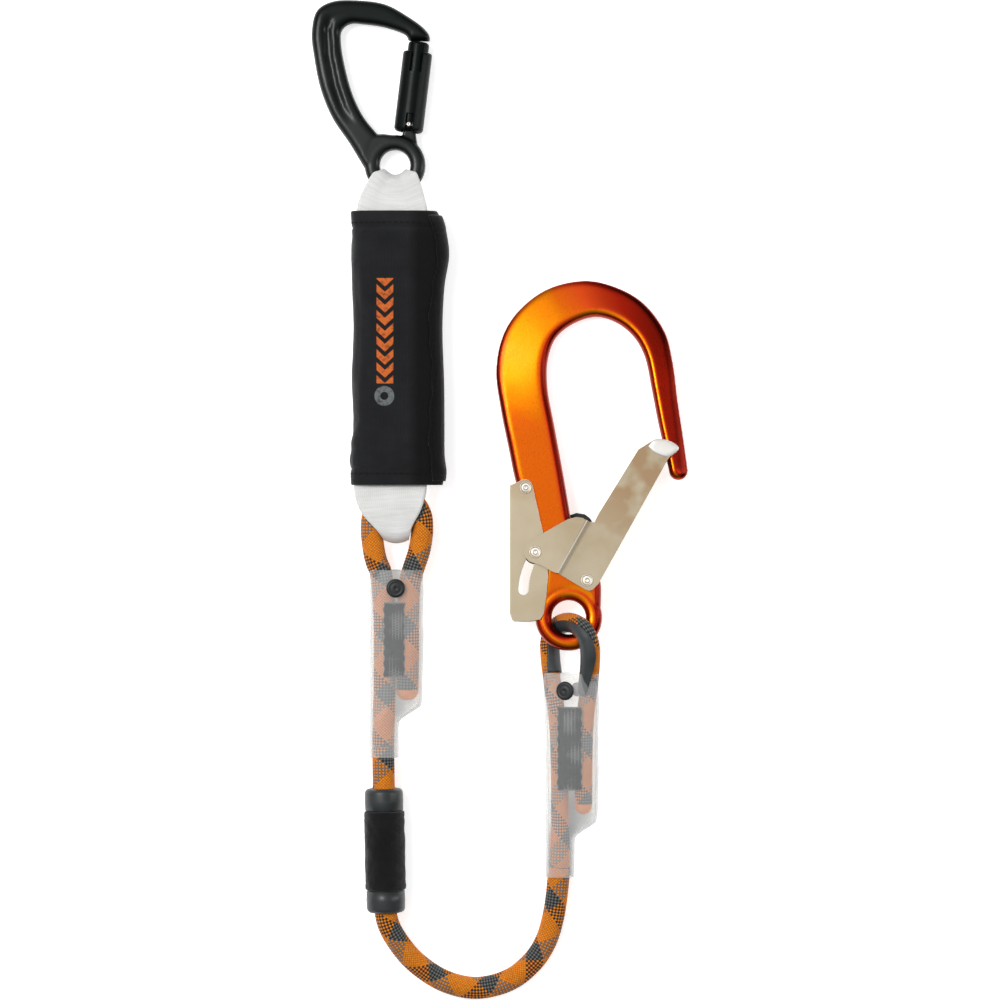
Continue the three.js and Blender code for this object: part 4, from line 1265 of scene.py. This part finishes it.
def wrap_finish():
    finish = Finish("grip_fabric", Roughness=0.92, Sheen_Weight=0.2, Specular_IOR_Level=0.15)
    x, y, _ = finish.xyz(finish.place())
    weave = finish.times(finish.threads(x, 0.8 * MM), finish.threads(y, 0.8 * MM))
    cloth = finish.mottled(linear(18, 18, 19), linear(31, 31, 33), 60)
    # Painted shade in the hollows between threads.
    finish.shade("Base Color", finish.mix(finish.rise(weave, 0.0, 0.6), linear(14, 14, 15), cloth))
    finish.bump((weave, 0.5, 0.25), (finish.noise(90, 3), 0.35, 0.8))
    return finish.material


# ---------- metal finishes ----------


def metal_finish(name, colour, light, roughness, metallic=1.0):
    finish = Finish(name, Metallic=metallic)
    finish.shade("Base Color", finish.mottled(colour, light, 70))
    grain = finish.noise(1400)
    finish.rough(grain, roughness - 0.06, roughness + 0.1)
    finish.bump((grain, 0.12, 0.05))
    return finish.material


def plated_finish():
    """Zinc plate over pressed steel: warm, with rolling lines. A painted reflection comes in towards the
    gate's tip, painted shade lies on its steep sides and a painted highlight along its folds.
    """
    finish = Finish("plated_steel", Specular_IOR_Level=0.5, Emission_Color=(1, 0.99, 0.96, 1))
    base = finish.mottled(linear(188, 175, 150), linear(178, 163, 136), 38, low=0.32, high=0.68)
    # Painted reflection: brownish blotches that come in towards the gate's tip.
    x, y, _ = finish.xyz(finish.place())
    upward = finish.node("ShaderNodeMapRange")
    finish.link(finish.plus(finish.times(x, 0.488), finish.times(y, 0.873)), upward.inputs["Value"])
    upward.inputs["From Min"].default_value = -0.056
    upward.inputs["From Max"].default_value = -0.008
    tip_reflection = finish.times(finish.rise(finish.noise(52, 2), 0.40, 0.56), 0.9)
    base = finish.mix(finish.times(tip_reflection, upward.outputs[0]), base, linear(164, 134, 100))
    # Painted highlight where the sheet is folded: nearly white, less metallic, and glowing faintly as painted
    # light.
    slope = finish.math("ABSOLUTE", finish.xyz(finish.node("ShaderNodeNewGeometry").outputs["Normal"])[2])
    fold = finish.ramp(slope, (0.60, 0.0), (0.70, 1.0), (0.90, 1.0), (0.955, 0.0))
    # Painted shade: the steep sides darker and browner.
    edge = finish.ramp(slope, (0.15, 1.0), (0.55, 0.0))
    base = finish.mix(edge, base, linear(128, 106, 80))
    finish.shade("Base Color", finish.mix(fold, base, linear(250, 248, 243)))
    finish.shade("Metallic", finish.ramp(fold, (0.0, 0.75), (1.0, 0.1)))
    finish.shade("Emission Strength", finish.times(fold, 0.2))
    lines = finish.noise(1, where=finish.stretched(260, 2600, 2600))
    finish.rough(lines, 0.36, 0.5)
    finish.bump((lines, 0.10, 0.04))
    return finish.material


def orange_finish():
    """Anodised aluminium, orange, with light and shade painted in by which way the surface faces: deep red
    down its outer right flanks.
    """
    finish = Finish("orange_anodised", Metallic=0.98, Coat_Weight=0.05, Coat_Roughness=0.16)
    nx, ny, nz = finish.xyz(finish.node("ShaderNodeNewGeometry").outputs["Normal"])
    # From 0 where a flank faces right and up, through a half on level faces.
    lean = finish.plus(finish.plus(finish.times(nx, -1.27), finish.times(ny, -0.52)), 0.5)
    face = finish.mottled(linear(226, 124, 4), linear(216, 112, 2), 26, 3, 0.35, 0.65)
    # Painted light and shade, by which way the surface faces: dark red where it faces right and up, orange on
    # level faces, redder again where it faces far left.
    lit_and_shaded = finish.ramp(
        lean, (0.0, linear(82, 6, 1)), (0.25, linear(194, 36, 12)), (0.40, linear(236, 80, 26)),
        (0.48, linear(220, 103, 5)), (0.92, linear(224, 100, 10)), (1.0, linear(170, 42, 12)),
    )
    flat = finish.ramp(lean, (0.47, 0.0), (0.50, 1.0), (0.80, 1.0), (0.9, 0.0))
    body = finish.mix(flat, lit_and_shaded, face)
    # Painted shade: the shank's left flank is made redder, where a highlight would show, and every rounded
    # edge darker.
    x, y, _ = finish.xyz(finish.place())
    on_left = finish.ramp(finish.times(x, 5), (0.5, 1.0), (0.65, 0.0))
    below_crown = finish.ramp(finish.math("MULTIPLY_ADD", y, 10, 0.5), (0.55, 1.0), (0.85, 0.0))
    flank = finish.ramp(lean, (0.57, 0.0), (0.70, 0.85))
    left_flank_shade = finish.times(finish.times(on_left, below_crown), flank)
    body = finish.mix(left_flank_shade, body, linear(164, 44, 8))
    level = finish.rise(finish.math("ABSOLUTE", nz), 0.55, 0.94)
    finish.shade("Base Color", finish.mix(level, linear(140, 32, 7), body))
    grain = finish.noise(1, where=finish.stretched(1500, 500, 1500))
    finish.rough(grain, 0.26, 0.34)
    finish.bump((grain, 0.03, 0.04))
    return finish.material


def anodised_black_finish(name, shine):
    """Black dye, duller towards the karabiner's top."""
    finish = Finish(name, Metallic=0.5, Coat_Weight=0.45 * shine, Coat_Roughness=0.2)
    finish.shade("Base Color", finish.mottled(linear(8, 13, 12), linear(15, 21, 20), 45))
    dulling = finish.ramp(finish.times(finish.xyz(finish.place())[1], 4), (0.72, 1.0), (0.86, 0.2))
    finish.shade("Specular IOR Level", finish.times(dulling, shine))
    grain = finish.noise(1300)
    finish.rough(grain, 0.34, 0.5)
    finish.bump((grain, 0.14, 0.05))
    return finish.material


# ---------- karabiner ----------


def at_karabiner(piece):
    return place(piece, KARABINER_EYE)


def at_gate(piece):
    """From the gate's frame, with its pin at the origin and its bar along +Y, to the scene's."""
    origin = KARABINER_EYE + np.array([*GATE_PIN, 0.0])
    return place(piece, origin, (0, 0, GATE_LEAN))


def karabiner_height(points, inset):
    """Round edged, with a recess along the spine between two ridges."""
    base = rounded_height(5.5, 5.2, 2.3)(points, inset)
    x, y = points[:, 0], points[:, 1]
    along_spine = np.clip((y - 26) / 16, 0, 1) * np.clip((98 - y) / 12, 0, 1) * np.clip((-12 - x) / 10, 0, 1)
    outer_distance = edge_distance(points, SPINE_LINE)
    groove = np.exp(-((outer_distance / 2.3) ** 4))
    return base - 1.7 * groove * along_spine


# The middle of the spine's recess, a closed line there and back.
SPINE_LINE = np.array([
    (-26.5, 24.5), (-34.0, 36.5), (-39.2, 52), (-43.2, 72), (-44.0, 88), (-41.5, 96.5), (-32, 99.6),
    (-32, 99.7), (-41.6, 96.6), (-44.1, 88), (-43.3, 72), (-39.3, 52), (-34.1, 36.5), (-26.6, 24.5),
])


def make_karabiner(forged, turned, bright, spring):
    outer = catmull([
        (22.8, 80.5), (22.4, 84.4), (18.6, 89.4), (8.8, 96.6), (-6, 104.7), (-22.2, 107.3), (-41, 106.6),
        (-50.8, 100.8), (-54.3, 86.5), (-52.7, 70.2), (-48.4, 49.4), (-41, 31.2), (-29.3, 13.7),
        (-19.6, -2.4),
    ], 1.0)
    inner = catmull([
        (-10, 18.6), (-20.2, 31.2), (-26.8, 44.2), (-31.9, 61.1), (-35.2, 80), (-34.6, 87.6), (-29, 91.9),
        (-21, 91.7), (-6, 89.4), (7.6, 84), (8.6, 80.9),
    ], 1.0)
    bow = inflated("bow", np.vstack([outer, inner]), karabiner_height)
    ring = ring_bar("ring", 9.8, 19.8, 5.5)
    lug = inflated(
        "lug", [(4.9, 12), (15.4, 8), (13.6, 20), *arc(9.1, 26.3, 4.0, -20, 200, 12), (4.4, 16)],
        rounded_height(3.2, 1.2), 0.9, (0.15, 0.4, 0.8, 1.2),
    )
    root = [(-19.4, -2), (-24.5, 6.5), (-17.5, 19.5), (-8, 20.6), (0, 19.6), *arc(0, 0, 12.6, 92, 186, 12)]
    web = inflated("web", root, rounded_height(5.4, 3.4), 1.2)
    frame_piece = fused("karabiner_forging", [bow, ring, lug, web], 0.62, 8)
    at_karabiner(frame_piece)
    show(frame_piece, "karabiner", "black_anodised", forged, "karabiner_frame")

    pin = lathe("gate_pin", [
        (0, -6.7), (1.2, -6.7), (1.8, -6.3), (1.8, 6.3), (1.2, 6.7), (0.5, 6.55), (0, 6.5),
    ], 32)
    upright(pin)
    at_gate(pin)
    show(pin, "karabiner", "bright_steel", bright, "karabiner_hinge_pin")

    bar = lathe("gate_bar", [
        (0, -4.2), (5.2, -4.2), (6.1, -3.6), (6.75, -2.4), (6.8, -2), (6.8, 24), (5.3, 24.5), (5.3, 33.5),
        (6.8, 34), (6.8, 52.4), (6.5, 53.3), (5.8, 53.9), (5.2, 54.2), (0, 54.2),
    ], 64)
    tools = [prism("fork", [(-9, -6), (9, -6), (9, 4.6), (-9, 4.6)], -3.4, 3.4)]
    for x in (-3.4, 3.4):
        left, right = x - 0.65, x + 0.65
        tools.append(prism("groove", [(left, 35), (right, 35), (right, 60), (left, 60)], 4.4, 9))
    tools.append(upright(lathe("pinhole", [(2.1, -9), (2.1, 9)], 32)))
    combined("DIFFERENCE", bar, tools)
    bevelled(bar, 0.25, 2)
    at_gate(bar)
    show(bar, "karabiner_gate", "black_anodised", turned, "karabiner_gate")

    make_lock_sleeve(turned)
    plunger = lathe("gate_plunger", [(0, 4.4), (1.0, 4.5), (1.5, 5.0), (1.6, 5.6), (1.6, 8.8), (0, 9)], 24)
    at_gate(plunger)
    show(plunger, "karabiner_gate", "bright_steel", bright, "karabiner_gate_plunger")
    for name, radius, wire, low, high, turns, node in (
        ("gate_coil", 1.2, 0.35, 9.6, 20.8, 9, "karabiner_gate_spring"),
        ("sleeve_coil", 6.15, 0.45, 25.4, 32.7, 7, "karabiner_sleeve_spring"),
    ):
        coil = coil_spring(name, radius, wire, low, high, turns)
        at_gate(coil)
        show(coil, "karabiner_gate", "spring_steel", spring, node)


def coil_spring(name, radius, wire, low, high, turns):
    """A wound wire about the Y axis."""
    t = np.linspace(0, 1, turns * 20)
    angle = 2 * math.pi * turns * t
    path = np.column_stack([radius * np.sin(angle), low + (high - low) * t, radius * np.cos(angle)])
    return grid_object(name, swept(path, *frames(path, (1, 0, 0)), full_turn(8), wire))


def make_lock_sleeve(black):
    """The barrel round the gate, with a notch for the body and a window at its upper end."""
    low, high, outer, bore = -4.6, 47.5, 9.5, 7.2
    notch_top, notch_half = 7, 15  # half in degrees
    window_low, window_half = 34.3, 25
    step = 5
    columns = 360 // step
    rolled_end = [
        (low, bore + 0.6), (low + 0.25, bore + 1.1), (low + 0.8, bore + 1.7), (low + 1.4, outer - 0.25),
    ]
    barrel = [(y, outer) for y in (low + 2.3, 0, 4, notch_top, 12, 18, 24, 30, window_low, 38, 42, 45.6)]
    rounded_end = [(46.6, outer - 0.1), (47.2, outer - 0.4), (high, outer - 0.9)]
    skin = rolled_end + barrel + rounded_end
    turn = np.radians(np.arange(columns) * step - 180)
    points = np.array([[(r * math.sin(a), y, r * math.cos(a)) for a in turn] for y, r in skin])
    vertices = points.reshape(-1, 3)
    faces = []
    for i in range(len(skin) - 1):
        for j in range(columns):
            middle = (j + 0.5) * step - 180
            window = abs(middle) < window_half and skin[i][0] >= window_low
            notch = abs(middle) < notch_half and skin[i + 1][0] <= notch_top
            if not (window or notch):
                k = (j + 1) % columns
                faces.append([i * columns + j, i * columns + k, (i + 1) * columns + k, (i + 1) * columns + j])
    sleeve = tidied(mesh_object("lock_sleeve", vertices, faces), outward=False)
    wall = sleeve.modifiers.new("wall", "SOLIDIFY")
    wall.thickness = (outer - bore - 0.1) * MM
    wall.offset = -1
    finish_mesh(sleeve)
    bevelled(sleeve, 0.35, 2, 50)
    at_gate(sleeve)
    show(sleeve, "karabiner_sleeve", "black_anodised", black, "karabiner_lock_sleeve")


# ---------- scaffold hook ----------

HOOK_PIVOT = (11.7, 23.7)
TRIGGER_PIVOT = (-27.9, 83.8)
SLOT_PIN = (-21.75, 41.9)
SLOT_HALF = 3.1
GATE_TRAVEL = 38  # degrees
TRIGGER_RATIO = 0.08  # the trigger's turn for each degree of the gate's
SHEET = 1.5
CHEEK = 5.8  # from the hook's middle plane to the inner face of the pressed plates


def hook_height(outer, inner):
    """Flat on the shank. Round the crown and down the arm it falls away towards the outer edge."""
    plain = rounded_height(5.5, 4.4, 2.0)

    def height(points, inset):
        x, y = points[:, 0], points[:, 1]
        crown = np.clip(np.clip((y - 118) / 55, 0, 1) + np.clip((x - 20) / 20, 0, 1), 0, 1)
        crown = crown * crown * (3 - 2 * crown)
        outward = curve_distance(points, outer)
        inward = curve_distance(points, inner)
        share = outward / (outward + inward + 1e-6)
        fall = 0.64 * (np.clip(0.80 - share, 0, 1) / 0.80) ** 1.1
        return plain(points, inset) * (1 - crown * fall)

    return height


def curve_distance(points, curve):
    return np.min(np.linalg.norm(points[:, None, :] - np.asarray(curve)[None, :, :], axis=2), axis=1)


def make_hook_body(orange):
    outer = catmull([
        (77.6, 95.6), (75, 115), (71.2, 141), (67.9, 167), (62.7, 186.6), (47.8, 206), (29, 216.2),
        (10.7, 219.7), (-14, 214), (-32.8, 199.6), (-43, 183), (-47.1, 160.6), (-43.9, 134.6),
        (-38.7, 108.6), (-34.4, 88), (-26.6, 64), (-17.6, 40), (-17.6, 26), (-20.2, 8),
    ], 1.0)
    neck = catmull([(21, 6), (20.6, 24), (17, 31.5), (13, 39), (7, 50), (1.4, 65)], 1.0)
    inner = catmull([
        (1.4, 65), (-3.8, 95.6), (-9, 124), (-13.6, 150), (-13.2, 168), (-8, 182), (4, 191.6), (18.5, 195.7),
        (32, 191.6), (43, 182.2), (49.6, 170), (54.3, 147.6), (58.4, 126), (65.2, 95.6),
    ], 1.0)
    nose = arc(71.4, 95.2, 6.2, 185, 355, 12)
    foot = arc(0, 0, 15.5, 165, 15, 16)
    outline = np.vstack([outer, foot, neck[:-1], inner, nose])
    insets = (0.15, 0.6, 1.3, 2.3, 3.5, 5.0, 7.0, 9.2, 11.6)
    bow = inflated("bow", outline, hook_height(outer, inner), 1.8, insets)
    ring = ring_bar("ring", 11, 21.7, 5.5, 2.4)
    piece = fused("hook_forging", [bow, ring], 0.68, 8)
    tilt_hook(piece)
    show(piece, "hook", "orange_alloy", orange, "hook_body")


def turned_about(point, pivot, degrees):
    c, s = math.cos(math.radians(degrees)), math.sin(math.radians(degrees))
    x, y = point[0] - pivot[0], point[1] - pivot[1]
    return (pivot[0] + c * x - s * y, pivot[1] + s * x + c * y)


def slot_outline():
    """The arc that the gate's pin travels in the trigger's own frame, as wide as the pin."""
    route = []
    for opened in np.linspace(0, GATE_TRAVEL, 25):
        pin = turned_about(SLOT_PIN, HOOK_PIVOT, opened)
        route.append(turned_about(pin, TRIGGER_PIVOT, -opened * TRIGGER_RATIO))
    route = np.array(route)
    heading = directions(route)
    across = np.column_stack([-heading[:, 1], heading[:, 0]]) * SLOT_HALF
    start, end = np.degrees(np.arctan2(heading[[0, -1], 1], heading[[0, -1], 0]))
    return [
        *(route - across),
        *arc(*route[-1], SLOT_HALF, end - 90, end + 90, 12)[1:-1],
        *(route + across)[::-1],
        *arc(*route[0], SLOT_HALF, start + 90, start + 270, 12)[1:-1],
    ]


def across_plates(outline):
    """The web that joins a pressing's front and rear plates."""
    return prism("web", outline, -CHEEK - SHEET / 2, CHEEK + SHEET / 2)


def make_trigger(steel):
    rounding = arc(-28.4, 84.2, 5, 20, 110, 8)
    outline = [
        (-38.2, 85.2), (-38.2, 2.6), (-36.7, -1.6), (-35.2, -2.6), (-24.5, -2.6), (-18.4, -1.6), (-16.4, 2.0),
        (-14.6, 13.7), (-13.4, 26), (-13.6, 31), (-15.4, 40), (-16.6, 54.6), (-23.4, 85.2), *rounding,
    ]
    left, low, high = -38.2, 2.6, 85.2
    front, rear = [prism("trigger_pressing", outline, z, z + SHEET) for z in (CHEEK, -CHEEK - SHEET)]
    back = [(left, low), (left + SHEET, low), (left + SHEET, high), (left, high)]
    piece = combined("UNION", front, [rear, across_plates(back)])
    combined("DIFFERENCE", piece, [prism("slot", slot_outline(), -20, 20)])
    bevelled(piece, 0.5, 3, 40)
    tilt_hook(piece)
    show(piece, "hook_trigger", "plated_steel", steel, "hook_trigger")


def wing_outline():
    return [
        (10.8, 62.4), (9.4, 63.9), (4.9, 64.6), (-0.6, 63.2), (-5.5, 60.5), (-15.9, 54.6), (-22.5, 50),
        *arc(*SLOT_PIN, 7, 112, 250, 12), (-18, 33.4), (-11.4, 29.6), (-8.4, 28.3), (-7.4, 28.5),
    ]


def make_gate(steel, dark):
    near = CHEEK
    far = near + SHEET + 0.3
    arm = [
        (19.2, 21.5), (64.4, 102.3), (69.6, 108.6), (68.9, 110.9), (67.5, 112.4), (62.7, 114.6),
        (55.6, 115.2), (45.2, 108.6), (18.8, 66), (16.6, 61.2), (12, 61.6), (9.4, 60.6), (-8.2, 29),
        (10.4, 17.9), (13, 16.9), (15.4, 17.6),
    ]
    ahead = np.array([0.488, 0.873])
    side = np.array([0.873, -0.488])
    foot = np.array([-5.5, 28.2])
    parts = []
    for face in (1, -1):
        for outline, low in ((arm, near), (wing_outline(), far)):
            parts.append(prism("gate_pressing", outline, *sorted((face * low, face * (low + SHEET)))))
        # The step between them is one sloping fold along the crease.
        ends = [foot + ahead * -0.6, foot + ahead * 38.4]
        section = [
            (-2.9, far), (-2.9, far + SHEET), (-1.8, far + SHEET), (1.6, near + SHEET), (1.6, near),
            (0.2, near),
        ]
        vertices = [(*(end + side * out), face * z) for end in ends for out, z in section]
        count = len(section)
        faces = [[i, (i + 1) % count, (i + 1) % count + count, i + count] for i in range(count)]
        faces += [list(range(count))[::-1], list(range(count, 2 * count))]
        parts.append(tidied(mesh_object("fold", vertices, faces, smooth=False)))
    start, end = [np.array([18.3, 20.0]) + ahead * along for along in (6, 96)]
    parts.append(across_plates([start - side * SHEET, start, end, end - side * SHEET]))
    piece = combined("UNION", parts[0], parts[1:])
    bevelled(piece, 0.45, 3, 40)
    tilt_hook(piece)
    show(piece, "hook_gate", "plated_steel", steel, "hook_gate")
    make_tongue()
    make_far_wing_shade(dark)


def make_tongue():
    """The pressed lips at the gate's tip, which close round the hook's nose."""
    bright = metal_finish("burnished_plate", linear(222, 219, 212), linear(240, 238, 233), 0.4, 0.45)
    for face, name in ((1, "gate_lip_front"), (-1, "gate_lip_rear")):
        outline = catmull([
            (51.4, 110.6), (54.4, 107.2), (59.2, 104.8), (64.0, 103.8), (69.4, 106.6), (71.4, 109.4),
            (69.0, 112.2), (63.0, 114.9), (55.4, 115.0), (51.4, 110.6),
        ], 1.0)[:-1]
        lip = inflated(name, outline, rounded_height(0.9, 3.0), 1.0, (0.15, 0.5, 1.0, 1.8, 2.6))
        tilt_hook(place(lip, (0, 0, face * 7.4)))
        show(lip, "hook_gate", "plated_steel", bright)


def make_far_wing_shade(material):
    """Painted shade: a dark strip on the gate's far wing, showing above the near one, standing for the shaded
    inner face of that wing.
    """
    edge = [(15.6, 62.6), (13.9, 65.1), (10.8, 67.5), (5.2, 68.4), (-0.9, 66.3), (-6.3, 62.9)]
    back = [(-5.55, 60.7), (-0.7, 63.4), (4.9, 64.8), (9.5, 64.1), (11.6, 62.4)]
    shade_strip = bevelled(prism("far_wing_shade", [*edge, *back], -9.05, -7.65), 0.3, 2)
    tilt_hook(shade_strip)
    show(shade_strip, "hook_gate", "black_plastic", material)


def rivet(name, reach):
    """A peened rivet, standing up along Z: a ring round a raised middle with a dimple."""
    head = [
        (2.6, -0.1), (3.9, 0), (3.95, 0.35), (3.7, 0.75), (3.3, 0.8), (2.9, 0.55), (2.5, 0.6), (2.1, 1.05),
        (1.5, 1.25), (0.9, 1.15), (0.55, 0.8), (0.0, 0.7),
    ]
    half = [(radius, reach + rise) for radius, rise in head]
    profile = [(radius, -height) for radius, height in half[::-1]] + [(2.6, 0.0)] + half
    return upright(lathe(name, profile, 44))


def make_hook_small_parts(steel, brass, spring):
    outside = CHEEK + SHEET
    for name, pivot, reach, body, node in (
        ("gate_rivet", HOOK_PIVOT, outside, "hook_gate", "hook_gate_rivet"),
        ("slot_rivet", SLOT_PIN, outside + 0.3 + SHEET, "hook_gate", "hook_slot_pin"),
        ("trigger_rivet", TRIGGER_PIVOT, outside, "hook_trigger", "hook_trigger_rivet"),
    ):
        piece = rivet(name, reach)
        tilt_hook(place(piece, (*pivot, 0)))
        show(piece, body, "plated_steel", steel, node)
    for name, pivot, node in (
        ("gate_bush", HOOK_PIVOT, "hook_gate_bush"), ("trigger_bush", TRIGGER_PIVOT, "hook_trigger_bush")
    ):
        profile = [(2.8, -5.2), (3.7, -5.2), (3.9, -5.0), (3.9, 5.0), (3.7, 5.2), (2.8, 5.2)]
        piece = lathe(name, profile, 40, hollow=True)
        tilt_hook(upright(piece, *pivot))
        show(piece, "hook", "brass", brass, node)
    coil = coil_spring("gate_torsion_coil", 4.95, 0.42, 2.6, 5.0, 3)
    tilt_hook(upright(coil, *HOOK_PIVOT))
    show(coil, "hook_gate", "spring_steel", spring, "hook_gate_spring")


# ---------- everything together ----------


def make_parts():
    white = webbing_finish("white_webbing", linear(238, 238, 236), linear(227, 227, 224))
    make_upper_loop(white)
    make_lower_loop(white)
    make_tear_pack(webbing_finish("tear_webbing", linear(216, 214, 204), linear(200, 197, 184)))
    fabric = cover_finish()
    make_cover(fabric)
    make_flap(fabric)
    thread = thread_finish("grey_thread", linear(20, 23, 24), linear(37, 41, 42))
    make_cover_stitching(thread_finish("black_thread", linear(8, 8, 9), linear(15, 15, 16), 0.0))
    make_hidden_stitching(thread)
    upper = stitched_block("upper_sewn_block", -7.8, 5.8, -164.5, -213.2, upper_middle, 7.0)
    show(upper, "rope", "thread", thread, "upper_splice_stitching")
    lower = stitched_block("lower_sewn_block", 104.8, 120.6, -232, -286.5, lower_middle, 7.0)
    show(lower, "rope", "thread", thread, "lower_splice_stitching")
    vinyl = sleeve_finish()
    make_sleeve("upper_vinyl_sleeve", UPPER_PLAN, upper_middle, vinyl, "upper_splice_cover")
    make_sleeve("lower_vinyl_sleeve", LOWER_PLAN, lower_middle, vinyl, "lower_splice_cover")
    button = plastic_finish("black_plastic", linear(24, 26, 28), linear(36, 38, 40))
    make_button("upper_snap", 0.05, -155.3, upper_middle, "upper_cover_button", "upper_cover_stud", button)
    make_button("lower_snap", 113.7, -221.5, lower_middle, "lower_cover_button", "lower_cover_stud", button)
    make_thimble(plastic_finish("grey_plastic", linear(50, 54, 56), linear(66, 70, 72), 0.42))
    make_tail_end(plastic_finish("sealed_rope", linear(226, 124, 24), linear(240, 150, 50), 0.6, 500, 0.3))
    rubber = plastic_finish("grey_rubber", linear(40, 43, 44), linear(52, 56, 57), 0.36, 1300, 0.2)
    make_grip(rubber, wrap_finish())
    forged = anodised_black_finish("black_anodised", 0.44)
    turned = anodised_black_finish("black_anodised_barrel", 0.12)
    bright = metal_finish("bright_steel", linear(190, 188, 182), linear(212, 210, 204), 0.28)
    spring = metal_finish("spring_steel", linear(128, 128, 126), linear(150, 150, 148), 0.35)
    make_karabiner(forged, turned, bright, spring)
    make_hook_body(orange_finish())
    steel = plated_finish()
    make_trigger(steel)
    make_gate(steel, button)
    brass = metal_finish("brass", linear(176, 141, 74), linear(196, 160, 92), 0.32)
    make_hook_small_parts(steel, brass, spring)


# ---------- the scene ----------

make_camera()
make_studio()
make_floor()
make_rope(rope_finish())
make_parts()
